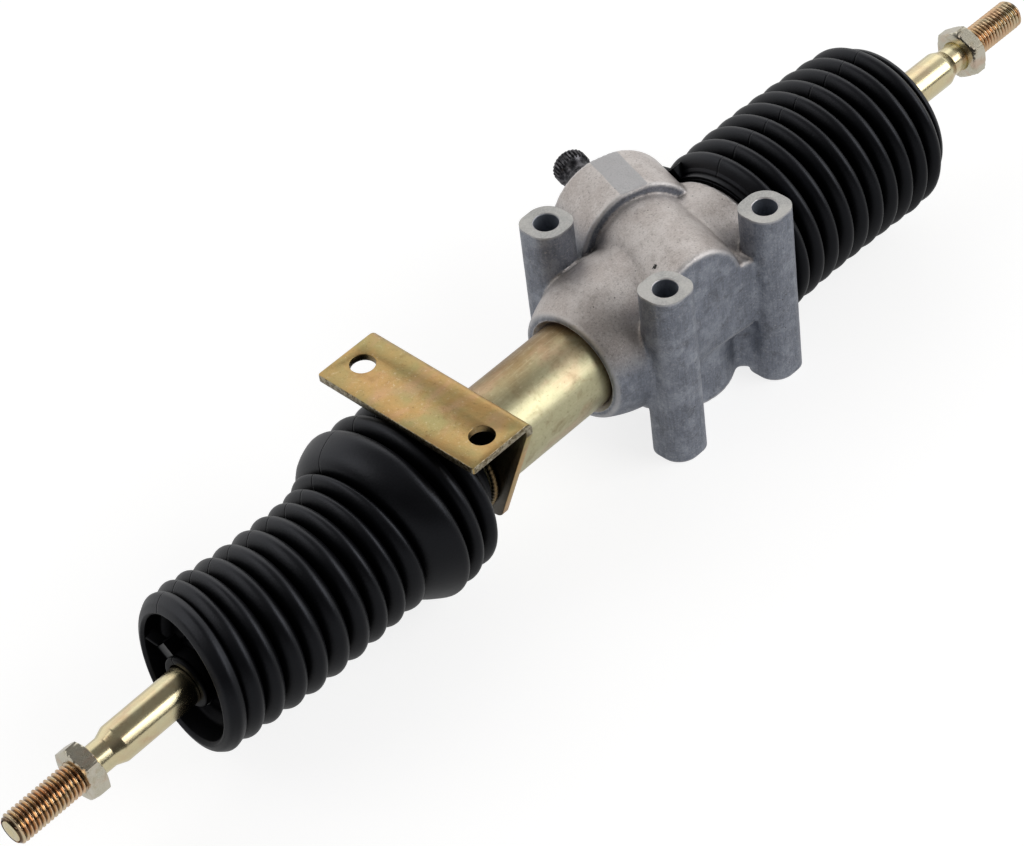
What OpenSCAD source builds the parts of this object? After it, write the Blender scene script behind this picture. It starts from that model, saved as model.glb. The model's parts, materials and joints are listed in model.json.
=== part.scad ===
/* [Housing casting] */
// Height of the rack axis above the feet of the posts
axis_height = 40; // [38:1:48]
// Length of the bolt posts, from foot to machined top
post_height = 78.5; // [74:0.5:86]
// Distance between the two posts on the tube side, across the rack
post_span = 57.5; // [56:0.5:62]
// Distance from those two posts to the third post, along the rack
post_pitch = 54; // [52:0.5:58]
// Width across the flats of a post
post_width = 17.2; // [15:0.2:19]
// Bore for the mounting bolts through a post
post_bore_d = 9.4; // [8:0.2:11]
// Diameter of the barrel around the rack
barrel_d = 56; // [52:0.5:60]
// Where the barrel ends and the boot neck begins
barrel_end = 60; // [58:0.5:62]
// Diameter of the rim where the tube enters the casting
collar_rim_d = 44.6; // [43:0.2:48]
// Length of the flared collar around the tube
collar_length = 19; // [16:0.5:24]
// How far the tube is pressed into the casting
tube_seat_depth = 20; // [14:1:20]
// Diameter of the neck that carries the right boot
neck_d = 51; // [48:0.5:54]
// Length of that neck
neck_length = 11.5; // [9:0.5:12.5]
// Diameter of the tunnel that the rack runs through
tunnel_d = 26; // [25:0.5:28]

/* [Pinion] */
// Place of the pinion crossing, along the rack
cross_x = 28.5; // [26:0.5:31]
// Distance between the rack axis and the pinion axis
centre_distance = 14.5; // [14.5:0.1:15.5]
// Turn of the pinion axis in plan, away from square to the rack
pinion_skew = 19; // [14:0.5:22]
// Tilt of the pinion axis above the horizontal
pinion_tilt = -4.5; // [-6:0.5:0]
// Number of pinion teeth
pinion_teeth = 8; // [8:1:9]
// Profile shift of the pinion, in modules
tooth_shift = 0.5; // [0.45:0.01:0.55]
// Tooth module
tooth_module = 1.75; // [1.6:0.05:1.8]
// Play between the flanks in mesh
tooth_backlash = 0.12; // [0.08:0.02:0.3]
// Half the length of the toothed part of the pinion
gear_half_length = 12; // [10:0.5:12]
// Outer diameter of the bearing tower
tower_d = 49.6; // [48:0.2:52]
// Distance from the crossing to the open end of the tower
tower_end = 39; // [38:0.5:42]
// Length of the tower
tower_length = 26; // [24:0.5:28]
// Outer diameter of the inner pinion barrel
pinion_barrel_d = 41; // [38:0.5:44]
// Height of the flat on the tower above the pinion axis
tower_flat = 24.4; // [23.8:0.1:24.6]
// Diameter of the input shaft and its splines
spline_d = 14.2; // [13:0.2:16]
// Distance from the crossing to the end of the input shaft
shaft_end = 73; // [68:0.5:78]
// Length of the splined end
spline_length = 19; // [14:0.5:22]
// Radius of the groove for the pinch bolt
pinch_groove_r = 4; // [3:0.1:4.5]
// How far the groove is cut into the splines
pinch_groove_depth = 2; // [1:0.1:2.6]
// Number of spline teeth
spline_teeth = 30; // [24:1:36]

/* [Pinion bearings] */
// Bore of the ball bearing
bearing_bore = 17; // [15:0.5:17]
// Outside diameter of the ball bearing
bearing_od = 40; // [38:0.5:42]
// Width of the ball bearing
bearing_width = 12; // [10:0.5:13]
// Number of balls
ball_count = 9; // [7:1:9]
// Diameter of a ball
bearing_ball_d = 6.6; // [5.6:0.2:6.8]
// Bore of the lower needle bush
needle_bore = 11; // [10:0.2:12]
// Outside diameter of the needle bush
needle_od = 16; // [15:0.2:17]
// Length of the needle bush
needle_length = 10; // [8:0.5:10]

/* [Rack guide] */
// Diameter of the guide boss under the crossing
guide_boss_d = 47; // [44:0.5:50]
// Height of the underside of that boss above the feet
guide_boss_foot = 0.6; // [0.4:0.1:3]
// Diameter of the yoke
yoke_d = 28; // [26:0.5:30]
// Depth of the yoke's top below the rack axis
yoke_drop = 4; // [3:0.5:6]
// Diameter of the screwed plug under the yoke
plug_d = 36; // [33:0.5:38]
// Thickness of the slide liner between yoke and rack
liner_t = 1; // [0.6:0.1:1.5]
// Thickness of the screwed plug
plug_t = 6; // [5:0.5:7]
// Thickness of the slotted lock ring
lock_ring_t = 3; // [2.5:0.5:3.5]
// Wire thickness of the yoke spring
spring_wire = 2.2; // [1.8:0.1:2.6]
// Number of turns of the yoke spring
spring_turns = 3.5; // [3:0.5:4]

/* [Rack and travel] */
// Diameter of the rack bar
rack_d = 24; // [23:0.5:24]
// Travel of the rack to each side
rack_travel = 42; // [34:1:42]
// Distance between the two inner ball centres
ball_span = 320.5; // [318:0.5:340]
// Middle of the two ball centres, along the rack
ball_middle = -28.25; // [-29:0.25:-28]

/* [Tube and bracket] */
// Outside diameter of the rack tube
tube_d = 35; // [34:0.5:38]
// Wall of the rack tube
tube_wall = 3; // [2.5:0.25:3.5]
// Length of the bush in the tube's outer end
bush_length = 18; // [14:1:22]
// Length of the tube from the casting's rim to its outer end
tube_reach = 106; // [104:1:108]
// Distance from the two posts to the bracket's bolt holes
bracket_pitch = 93.5; // [90:0.5:97]
// Height of the bracket's top face above the feet
bracket_top = 79.5; // [78.5:0.5:84]
// Length of the bracket's plate, across the rack
bracket_length = 75; // [72:0.5:84]
// Width of the bracket's plate, along the rack
bracket_width = 26.6; // [25:0.2:32]
// Thickness of the bracket's sheet
bracket_t = 3; // [2.5:0.1:4]
// Diameter of the bracket's bolt holes
bracket_hole_d = 9.4; // [8:0.2:11]
// Width of the leg where it meets the bend
leg_top_width = 75; // [66:0.5:75]
// Width of the leg at its lower edge
leg_foot_width = 37; // [36.5:0.5:44]
// Height of the leg's lower edge above the feet
leg_foot = 22; // [18:0.5:22]
// Outer radius of the bend
bend_r = 4.5; // [4:0.1:6]
// Leg of the weld around the tube
weld_leg = 3; // [2:0.2:3.2]

/* [Boots] */
// Wall of the rubber boots
boot_wall = 2; // [1.6:0.1:2.4]
// Radius over the small convolutions of the left boot
left_small_r = 28.6; // [28:0.2:31]
// Radius over the large convolutions of the left boot
left_large_r = 35.6; // [34:0.2:36]
// Number of small convolutions on the left boot
left_small_count = 10; // [8:1:12]
// Number of large convolutions on the left boot
left_large_count = 3; // [2:1:4]
// Radius over the convolutions of the right boot
right_r = 34.8; // [33:0.2:36]
// Number of convolutions on the right boot
right_count = 10; // [8:1:12]
// Depth of a convolution
convolution_depth = 6; // [4:0.5:6.5]
// Thickness of a cable tie's strap
tie_t = 1.3; // [1:0.1:1.8]
// Width of a cable tie's strap
tie_width = 4.6; // [4:0.2:5]

/* [Tie rods] */
// Length from the inner ball's centre to the tip of the thread
tie_rod_length = 103; // [98:0.5:130]
// Diameter of the inner ball
ball_d = 22; // [20:0.5:22]
// Diameter of the rod's shank
shank_d = 14.6; // [13:0.2:15]
// Diameter of the rod's thinner neck behind the thread
neck_rod_d = 11.5; // [10.5:0.1:11.8]
// Major diameter of the rod's thread
thread_d = 12; // [12:0.5:14]
// Length of the thread
thread_length = 34; // [31:0.5:40]
// Width across the flats of the jam nut
nut_af = 19; // [18:0.5:22]
// Thickness of the jam nut
nut_t = 7; // [6:0.5:9]
// Distance from the tip of the thread to the jam nut
nut_offset = 28.4; // [18:0.2:29]
// Droop of the tie rods at rest, in degrees below the rack axis
rod_droop = 1.3; // [0.8:0.1:2]
// Outside diameter of the ball socket
socket_d = 31; // [30.5:0.5:33]
// Wall of the plastic ball seat
seat_t = 1.5; // [1.2:0.1:1.6]
// Diameter of the socket's threaded stud
stud_d = 14; // [12:0.5:15]
// Length of the socket's threaded stud
stud_length = 14; // [12:0.5:16]
// Thickness of the tab washer behind the socket
tab_washer_t = 1; // [0.8:0.1:1.2]

/* [Fits] */
// Gap on the radius of a shaft that turns or slides in its seat
running_gap = 0.05; // [0.03:0.01:0.08]
// Gap on the radius of a piece that stays in its seat
seat_gap = 0.02; // [0.01:0.01:0.04]
// Gap between rubber and the metal that moves inside it
rubber_gap = 0.3; // [0.25:0.05:0.4]
// Gap under the strap of a cable tie
strap_gap = 0.12; // [0.1:0.02:0.2]

/* [Hidden] */
$fn = 64;

cast_grey = [0.66, 0.65, 0.64];
zinc_gold = [0.74, 0.66, 0.42];
pale_zinc = [0.82, 0.78, 0.62];
steel_grey = [0.55, 0.56, 0.58];
rubber_black = [0.05, 0.05, 0.055];
blackened = [0.09, 0.09, 0.1];
seal_brown = [0.25, 0.14, 0.1];
seat_white = [0.88, 0.87, 0.82];

// A little more than any cut needs, so that no skin is left
over = 0.5;

// Places along the rack
collar_length_in = 3;
collar_start = -collar_length - collar_length_in;
tube_inner_end = collar_start + tube_seat_depth;
tube_outer_end = collar_start - tube_reach;
neck_end = barrel_end + neck_length;
left_ball_x = ball_middle - ball_span / 2;
right_ball_x = ball_middle + ball_span / 2;
socket_face = 16;
bush_ring_x = tube_outer_end + 2;
bush_ring_t = 1.2;
rack_end_gap = socket_face + tab_washer_t;

// The pinion axis as a direction, and the line square to both axes
axis_u = [sin(pinion_skew) * cos(pinion_tilt), cos(pinion_skew) * cos(pinion_tilt), sin(pinion_tilt)];
cross_norm = norm([axis_u[1], axis_u[2]]);
up_n = [0, -axis_u[2] / cross_norm, axis_u[1] / cross_norm];
// Turn about the pinion axis that points its local Y at the rack
mesh_roll = asin(axis_u[2] * sin(pinion_skew) / cross_norm);
// Angle between the teeth and a line square across the rack
tooth_angle = asin(axis_u[0]);

// Tooth sizes; heights on the rack are distances from the pinion axis
pressure_angle = 20;
pitch_r = pinion_teeth * tooth_module / 2;
base_r = pitch_r * cos(pressure_angle);
rack_step = PI * tooth_module / cos(tooth_angle);
rack_line = pitch_r + tooth_shift * tooth_module;
rack_crest = rack_line - 0.9 * tooth_module;
tooth_clearance = 0.25 * tooth_module;
pinion_tip_r = pitch_r + (0.875 + tooth_shift) * tooth_module;
pinion_root_r = rack_crest - tooth_clearance;
rack_root = pinion_tip_r + tooth_clearance;
tooth_thickness = tooth_module * (PI / 2 + 2 * tooth_shift * tan(pressure_angle)) - tooth_backlash;
rack_teeth_half = ceil((rack_travel + pinion_tip_r) / rack_step);

// Places along the pinion axis, counted from the crossing
needle_end = -gear_half_length - 1.5;
needle_start = needle_end - needle_length;
bearing_start = gear_half_length + 6.5;
bearing_end = bearing_start + bearing_width;
retainer_t = 1.5;
circlip_t = 1.2;
retainer_start = bearing_end + 0.1;
circlip_start = bearing_end + 0.1;
seal_start = retainer_start + retainer_t + 1.2;
seal_width = 5;
tower_start = tower_end - tower_length;
gear_room = 0.9;
seal_shaft_r = 8;
neck_shaft_r = 6.5;

// Places under the rack, on the guide's vertical axis
ring_recess = 0.6;
ring_z = guide_boss_foot + ring_recess;
plug_z = ring_z + lock_ring_t;
plug_top = plug_z + plug_t;
yoke_play = 0.15;
yoke_z = plug_top + yoke_play;
yoke_top = axis_height - yoke_drop;
spring_r = 6;
spring_seat = 2;

// The flat face of the front block, turned a little in plan
block_turn = 7;
block_face_y = -post_span / 2 + 4.8;

// Places on the bracket
plate_x1 = -bracket_pitch + 13;
plate_x0 = plate_x1 - bracket_width;
leg_x = plate_x1 - bracket_t;

// Places on the boots, from collar to cuff
collar_clear = 0.8;
left_boot_x = leg_x - weld_leg - collar_clear;
boot_collar_l = tie_width + 1.6;
cuff_r = shank_d / 2 + rubber_gap;
cuff_l = tie_width + 1.4;
cuff_setback = 17.6;
left_first_x = left_boot_x - boot_collar_l - 4.5;
left_last_x = left_ball_x - 23.6;
left_step = (left_first_x - left_last_x) / (left_small_count + left_large_count - 1 + 0.45);
right_boot_x = barrel_end + 1.3;
right_first_x = right_boot_x + tie_width + 2.3;
right_last_x = right_ball_x + 14.3;
right_cuff_reach = 14.5;
right_step = (right_last_x - right_first_x) / (right_count - 1);
rod_neck_r = 5.2;
wave_steps = 12;

function arc_points(cx, cy, r, a0, a1, steps) =
    [for (i = [0:steps]) let (a = a0 + (a1 - a0) * i / steps) [cx + r * cos(a), cy + r * sin(a)]];

// Puts children, drawn about the Z axis, on the rack axis with Z along +X
module on_rack_axis(x = 0) {
    translate([x, 0, axis_height]) rotate([0, 90, 0]) children();
}

// The same for the left side, with Z along -X
module on_rack_axis_left(x = 0) {
    translate([x, 0, axis_height]) rotate([0, -90, 0]) children();
}

// Puts children, drawn outward from an inner ball's centre along Z, on the drooping rod of that side
module on_left_rod() {
    on_rack_axis_left(left_ball_x) rotate([0, -rod_droop, 0]) children();
}

module on_right_rod() {
    on_rack_axis(right_ball_x) rotate([0, rod_droop, 0]) children();
}

// Puts children, drawn about the Z axis, on the pinion axis
module on_pinion_axis(s = 0) {
    translate([cross_x, 0, axis_height] + centre_distance * up_n)
        rotate([pinion_tilt - 90, 0, -pinion_skew])
            translate([0, 0, s]) children();
}

module ring(r_out, r_in, h) {
    difference() {
        cylinder(r = r_out, h = h);
        translate([0, 0, -over]) cylinder(r = r_in, h = h + 2 * over);
    }
}

// A solid of revolution from points [radius, height]
module lathe(points) {
    rotate_extrude() polygon(points);
}

// Rounded bar section: a square with a small radius on one diagonal and a large one on the other
module post_section() {
    half = post_width / 2;
    small = 5.5;
    large = min(8.1, half - 0.1);
    polygon(concat(
        arc_points(half - large, half - large, large, 0, 90, 8),
        arc_points(-half + small, half - small, small, 90, 180, 8),
        arc_points(-half + large, -half + large, large, 180, 270, 8),
        arc_points(half - small, -half + small, small, 270, 360, 8)
    ));
}

module posts() {
    for (p = post_places()) translate(p) linear_extrude(post_height) post_section();
}

function post_places() = [[0, post_span / 2, 0], [0, -post_span / 2, 0], [post_pitch, -post_span / 2, 0]];

// All that lies behind the flat face between the two near posts
module behind_block_face() {
    room = post_pitch * 2 + 12;
    rotate([0, 0, -block_turn]) translate([-room / 2, block_face_y, 0]) cube(room);
}

// The block between the posts on the near side
module front_block() {
    right_x = post_pitch - 7.4;
    block_top = axis_height + centre_distance + 6;
    block_foot = axis_height - 11.7;
    corner = 5;
    intersection() {
        rotate([90, 0, 0]) linear_extrude(post_span / 2 + 20) polygon(concat(
            arc_points(right_x - corner - 1, block_top - corner - 1, corner + 1, 0, 90, 8),
            [[0, block_top], [0, block_foot]],
            arc_points(right_x - corner, block_foot + corner, corner, 270, 360, 8)
        ));
        behind_block_face();
    }
}

// The pinion's inner barrel, ended by the same flat face
module pinion_barrel() {
    intersection() {
        on_pinion_axis(-post_span / 2 - 10)
            cylinder(d = pinion_barrel_d, h = post_span / 2 + 12 + tower_start);
        behind_block_face();
    }
}

module tower() {
    edge = 0.9;
    intersection() {
        on_pinion_axis(tower_start) lathe([
            [0, 0], [tower_d / 2 - 0.8, 0], [tower_d / 2, 0.8], [tower_d / 2, tower_length - edge],
            [tower_d / 2 - 0.25, tower_length - 0.3], [tower_d / 2 - edge, tower_length], [0, tower_length]
        ]);
        on_pinion_axis(tower_start) translate([-tower_d, -tower_flat, -over])
            cube([2 * tower_d, 2 * tower_d, tower_length + 2 * over]);
    }
}

// A web between the guide boss and a post
module foot_web(p, height, t) {
    dx = p[0] - cross_x;
    translate([cross_x, 0, guide_boss_foot + 2]) rotate([0, 0, atan2(p[1], dx)])
        translate([0, -t / 2, 0]) cube([norm([dx, p[1]]), t, height]);
}

module casting_body() {
    rim = collar_rim_d / 2;
    barrel = barrel_d / 2;
    on_rack_axis(collar_start) lathe([
        [0, 0], [rim - 0.8, 0], [rim, 0.6], [rim + 1.7, 2.2], [rim + 3.4, collar_length * 0.45],
        [rim + 4.8, collar_length * 0.75], [barrel, collar_length],
        [barrel, collar_length + 4], [0, collar_length + 4]
    ]);
    on_rack_axis(-collar_length_in) lathe([
        [0, 0], [barrel, 0], [barrel, barrel_end + collar_length_in - 1.5],
        [barrel - 0.45, barrel_end + collar_length_in - 0.45], [barrel - 1.5, barrel_end + collar_length_in],
        [0, barrel_end + collar_length_in]
    ]);
    on_rack_axis(barrel_end - 4) cylinder(d = neck_d, h = neck_length + 4);
    posts();
    front_block();
    pinion_barrel();
    tower();
    translate([cross_x, 0, guide_boss_foot]) cylinder(d = guide_boss_d, h = axis_height - guide_boss_foot);
    for (p = post_places()) foot_web(p, axis_height - 12, 8);
}

module pinion_bore() {
    on_pinion_axis(needle_start - 1) cylinder(r = needle_od / 2 + seat_gap, h = needle_length + 1 + over);
    on_pinion_axis(needle_end) cylinder(r = pinion_tip_r + gear_room, h = bearing_start - needle_end + over);
    on_pinion_axis(bearing_start) cylinder(r = bearing_od / 2 + seat_gap, h = tower_end - bearing_start + 2);
    on_pinion_axis(retainer_start - 0.05) cylinder(r = bearing_od / 2 + 1, h = retainer_t + 0.1);
}

module pinion_housing() {
    color(cast_grey) difference() {
        casting_body();
        on_rack_axis(tube_inner_end - over) cylinder(d = tunnel_d, h = neck_end - tube_inner_end + 2);
        on_rack_axis(collar_start - 2) cylinder(r = tube_d / 2 + seat_gap, h = tube_seat_depth + 2);
        on_rack_axis(collar_start - 1) cylinder(r1 = tube_d / 2 + 3, r2 = tube_d / 2, h = 3);
        pinion_bore();
        // The neck is turned, which also trims the post and the tower next to it
        on_rack_axis(right_boot_x - 0.3)
            ring(neck_d / 2 + boot_wall + tie_t + 0.7, neck_d / 2, neck_length + 4);
        translate([cross_x, 0, -1]) cylinder(r = yoke_d / 2 + running_gap, h = axis_height + 1);
        translate([cross_x, 0, -1]) cylinder(r = plug_d / 2 + seat_gap, h = plug_top + 1.5);
        for (p = post_places()) translate([p[0], p[1], -1]) cylinder(d = post_bore_d, h = post_height + 2);
    }
}

module rack_tube() {
    color(zinc_gold) difference() {
        on_rack_axis(tube_outer_end)
            ring(tube_d / 2, tube_d / 2 - tube_wall, tube_inner_end - tube_outer_end);
        on_rack_axis(bush_ring_x - 0.1) cylinder(r = tube_d / 2 - tube_wall + 0.8, h = bush_ring_t + 0.2);
    }
}

module rack_bush() {
    color(seat_white) on_rack_axis(bush_ring_x + bush_ring_t + 0.15)
        ring(tube_d / 2 - tube_wall - seat_gap, rack_d / 2 + running_gap, bush_length);
}

module bush_retaining_ring() {
    color(steel_grey) on_rack_axis(bush_ring_x)
        ring(tube_d / 2 - tube_wall + 0.7, rack_d / 2 + 0.7, bush_ring_t);
}

module bracket_profile() {
    r_in = bend_r - bracket_t;
    cx = plate_x1 - bend_r;
    cz = bracket_top - bend_r;
    polygon(concat(
        [[plate_x0, bracket_top - bracket_t], [plate_x0, bracket_top]],
        arc_points(cx, cz, bend_r, 90, 0, 10),
        [[plate_x1, leg_foot], [leg_x, leg_foot]],
        arc_points(cx, cz, r_in, 0, 90, 10)
    ));
}

// Outline of the leg seen along the rack, with a plain band above it for the plate
module leg_outline() {
    corner = 4.5;
    half_foot = leg_foot_width / 2;
    half_top = leg_top_width / 2;
    shoulder = bracket_top - bend_r - 1;
    taper = atan2(half_top - half_foot, shoulder - leg_foot);
    polygon(concat(
        [[half_top, shoulder], [bracket_length / 2, shoulder + 1], [bracket_length / 2, bracket_top + 1]],
        [[-bracket_length / 2, bracket_top + 1], [-bracket_length / 2, shoulder + 1], [-half_top, shoulder]],
        arc_points(-half_foot + corner * 0.75, leg_foot + corner, corner, 180 + taper, 270, 6),
        arc_points(half_foot - corner * 0.75, leg_foot + corner, corner, 270, 360 - taper, 6)
    ));
}

module plate_outline() {
    corner = 1.2;
    half = bracket_length / 2;
    polygon(concat(
        [[plate_x1 + 1, -half], [plate_x1 + 1, half]],
        arc_points(plate_x0 + corner, half - corner, corner, 90, 180, 6),
        arc_points(plate_x0 + corner, -half + corner, corner, 180, 270, 6)
    ));
}

module mounting_bracket() {
    color(zinc_gold) difference() {
        intersection() {
            translate([0, bracket_length / 2, 0]) rotate([90, 0, 0])
                linear_extrude(bracket_length) bracket_profile();
            translate([plate_x0 - 1, 0, 0]) rotate([90, 0, 90])
                linear_extrude(bracket_width + 2) leg_outline();
            linear_extrude(bracket_top + 1) plate_outline();
        }
        on_rack_axis(leg_x - 1) cylinder(r = tube_d / 2 + seat_gap, h = bracket_t + 2);
        for (side = [-1, 1]) translate([-bracket_pitch, side * post_span / 2, bracket_top - bracket_t - 1])
            cylinder(d = bracket_hole_d, h = bracket_t + 2);
    }
}

module bracket_weld() {
    r = tube_d / 2 + seat_gap;
    color(zinc_gold) on_rack_axis_left(leg_x) difference() {
        lathe([
            [r - 1, 0], [r + weld_leg, 0], [r + weld_leg * 0.45, weld_leg * 0.45],
            [r, weld_leg], [r - 1, weld_leg]
        ]);
        translate([0, 0, -over]) cylinder(r = r, h = weld_leg + 2 * over);
    }
}

module rack_guide_yoke() {
    color([0.6, 0.61, 0.62]) difference() {
        translate([cross_x, 0, yoke_z]) cylinder(d = yoke_d, h = yoke_top - yoke_z);
        on_rack_axis(cross_x - yoke_d) cylinder(r = rack_d / 2 + running_gap + liner_t, h = 2 * yoke_d);
        translate([cross_x, 0, yoke_z - 1]) cylinder(r = spring_r + spring_wire / 2 + 0.6, h = 9);
    }
}

module yoke_liner() {
    color(seat_white) intersection() {
        on_rack_axis(cross_x - yoke_d)
            ring(rack_d / 2 + running_gap + liner_t - seat_gap, rack_d / 2 + running_gap, 2 * yoke_d);
        translate([cross_x, 0, yoke_z]) cylinder(r = yoke_d / 2 - 1, h = yoke_top - yoke_z);
    }
}

function spring_foot() = plug_top - spring_seat + 0.1;
function spring_head() = yoke_z + 8 - 0.1;

// A coil as a swept ring of points; the two ends lie flat for a quarter turn
module yoke_spring() {
    sides = 8;
    per_turn = 20;
    count = round(spring_turns * per_turn);
    foot = spring_foot() + spring_wire / 2;
    head = spring_head() - spring_wire / 2;
    rings = [for (i = [0:count]) let (a = 360 * i / per_turn, f = i / count, z = foot + (head - foot) * f)
        for (k = [0:sides - 1]) let (b = 360 * k / sides, r = spring_r + spring_wire / 2 * cos(b))
            [r * cos(a), r * sin(a), z + spring_wire / 2 * sin(b)]];
    walls = [for (i = [0:count - 1]) for (k = [0:sides - 1])
        let (a = i * sides + k, b = i * sides + (k + 1) % sides) [a, b, b + sides, a + sides]];
    ends = [[for (k = [sides - 1:-1:0]) k], [for (k = [0:sides - 1]) count * sides + k]];
    color(steel_grey) translate([cross_x, 0, 0]) polyhedron(points = rings, faces = concat(walls, ends));
}

module yoke_plug() {
    groove_r = plug_d / 2 - 1.7;
    color(pale_zinc) translate([cross_x, 0, 0]) difference() {
        translate([0, 0, plug_z]) cylinder(d = plug_d, h = plug_t);
        translate([0, 0, plug_top - spring_seat])
            cylinder(r = spring_r + spring_wire / 2 + 0.6, h = spring_seat + 1);
        translate([0, 0, plug_z + plug_t / 2 - 1.2]) ring(plug_d / 2 + 1, groove_r, 2.4);
        translate([0, 0, plug_z - 1]) cylinder(r = 8, h = 3.2, $fn = 6);
    }
}

module yoke_seal_ring() {
    minor = 0.83;
    color(rubber_black) translate([cross_x, 0, plug_z + plug_t / 2])
        rotate_extrude() translate([plug_d / 2 - minor, 0]) circle(r = minor - 0.01, $fn = 24);
}

module yoke_lock_ring() {
    color(pale_zinc) translate([cross_x, 0, ring_z]) difference() {
        ring(plug_d / 2, 9, lock_ring_t);
        for (a = [0:60:300])
            rotate([0, 0, a]) translate([plug_d / 2 - 3, -2, -1]) cube([5, 4, lock_ring_t + 2]);
    }
}

module lower_needle_bush() {
    color(steel_grey) on_pinion_axis(needle_start) ring(needle_od / 2, needle_bore / 2, needle_length);
}

// Radius of the circle that the ball centres lie on
function ball_circle() = (bearing_bore + bearing_od) / 4;

module ball_track() {
    translate([0, 0, bearing_width / 2]) rotate_extrude() translate([ball_circle(), 0])
        circle(d = bearing_ball_d + 0.16, $fn = 48);
}

module bearing_outer_ring() {
    color(steel_grey) on_pinion_axis(bearing_start) difference() {
        ring(bearing_od / 2, ball_circle() + bearing_ball_d * 0.3, bearing_width);
        ball_track();
    }
}

module bearing_inner_ring() {
    color(steel_grey) on_pinion_axis(bearing_start) difference() {
        ring(ball_circle() - bearing_ball_d * 0.3, bearing_bore / 2, bearing_width);
        ball_track();
    }
}

module bearing_ball_places() {
    for (i = [0:ball_count - 1]) rotate([0, 0, 360 * i / ball_count])
        translate([ball_circle(), 0, bearing_width / 2]) children();
}

module bearing_balls() {
    color(steel_grey) on_pinion_axis(bearing_start) bearing_ball_places() sphere(d = bearing_ball_d);
}

module bearing_cage() {
    r_mid = ball_circle();
    color([0.72, 0.6, 0.35]) on_pinion_axis(bearing_start) difference() {
        translate([0, 0, 1.2]) ring(r_mid + 1, r_mid - 1, bearing_width - 2.4);
        bearing_ball_places()
            rotate([0, 90, 0]) translate([0, 0, -3]) cylinder(d = bearing_ball_d + 0.2, h = 6);
    }
}

module bearing_retaining_ring() {
    color(steel_grey) on_pinion_axis(retainer_start)
        ring(bearing_od / 2 + 0.8, bearing_od / 2 - 2.5, retainer_t);
}

module pinion_seal() {
    color(seal_brown) on_pinion_axis(seal_start) difference() {
        cylinder(d = bearing_od, h = seal_width);
        translate([0, 0, -1]) cylinder(r = seal_shaft_r + running_gap, h = seal_width + 2);
        translate([0, 0, seal_width - 1.5]) ring(bearing_od / 2 - 2, seal_shaft_r + 2.5, 3);
    }
}

// Half the angle of a tooth at radius r, from the involute of the base circle
function involute(a) = tan(a) * 180 / PI - a;
function half_tooth(r) = tooth_thickness / pitch_r / 2 * 180 / PI
    + involute(pressure_angle) - involute(acos(min(1, base_r / r)));

// Points of one tooth about +Y, from root to root
function tooth_points() = let (
    low = max(base_r, pinion_root_r), steps = 6,
    flank = [for (i = [0:steps]) let (r = low + (pinion_tip_r - low) * i / steps) [r, half_tooth(r)]],
    foot = [pinion_root_r, half_tooth(low)]
) concat(
    [[foot[0], -foot[1]]], [for (p = flank) [p[0], -p[1]]],
    [for (i = [steps:-1:0]) flank[i]], [foot]
);

module gear_section() {
    step = 360 / pinion_teeth;
    polygon([for (t = [0:pinion_teeth - 1]) for (p = tooth_points())
        let (a = 90 - t * step - p[1]) [p[0] * cos(a), p[0] * sin(a)]]);
}

module spline_section() {
    tip = spline_d / 2;
    root = tip - 0.55;
    polygon([for (i = [0:spline_teeth - 1]) for (k = [0:3]) let (
        a = 360 / spline_teeth * (i + [0, 0.28, 0.5, 0.78][k]), r = [tip, tip, root, root][k]
    ) [r * cos(a), r * sin(a)]]);
}

module pinion_shaft() {
    journal_r = needle_bore / 2 - running_gap;
    seat_r = bearing_bore / 2 - seat_gap;
    spline_start = shaft_end - spline_length;
    cut_r = pinch_groove_r + spline_d / 2 - pinch_groove_depth;
    groove_half = acos((pinch_groove_r - pinch_groove_depth - 0.3) / pinch_groove_r);
    color(steel_grey) {
        on_pinion_axis(needle_start - 0.4) lathe([
            [0, 0], [journal_r - 0.6, 0], [journal_r, 0.6],
            [journal_r, gear_half_length - needle_start - 8], [0, gear_half_length - needle_start - 8]
        ]);
        on_pinion_axis() rotate([0, 0, mesh_roll]) translate([0, 0, -gear_half_length])
            linear_extrude(2 * gear_half_length) gear_section();
        on_pinion_axis(gear_half_length - 0.5) cylinder(r = pinion_root_r - 0.3, h = 3);
        on_pinion_axis(gear_half_length + 1)
            cylinder(r = seat_r + 1.7, h = bearing_start - gear_half_length - 1);
        difference() {
            on_pinion_axis(bearing_start - over)
                cylinder(r = seat_r, h = seal_start - 0.6 - bearing_start + over);
            on_pinion_axis(circlip_start - 0.05) ring(seat_r + 1, seat_r - 0.8, circlip_t + 0.1);
        }
        on_pinion_axis(seal_start - 1) cylinder(r = seal_shaft_r, h = tower_end + 1.5 - seal_start + 1);
        on_pinion_axis(tower_end) cylinder(r = neck_shaft_r, h = spline_start - tower_end + 1);
    }
    // The splines, bevelled at the end and waisted by the groove for the pinch bolt
    color(blackened) on_pinion_axis(spline_start) intersection() {
        linear_extrude(spline_length) spline_section();
        lathe(concat(
            [[0, -1], [spline_d / 2 + 1, -1]],
            arc_points(cut_r, spline_length / 2 - 0.5, pinch_groove_r,
                180 + groove_half, 180 - groove_half, 10),
            [[spline_d / 2 + 1, spline_length - 2.4], [spline_d / 2 - 1.6, spline_length + 0.2]],
            [[0, spline_length + 0.2]]
        ));
    }
}

module pinion_circlip() {
    seat_r = bearing_bore / 2 - seat_gap;
    color(blackened) on_pinion_axis(circlip_start) ring(seat_r + 1.8, seat_r - 0.7, circlip_t);
}

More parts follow.
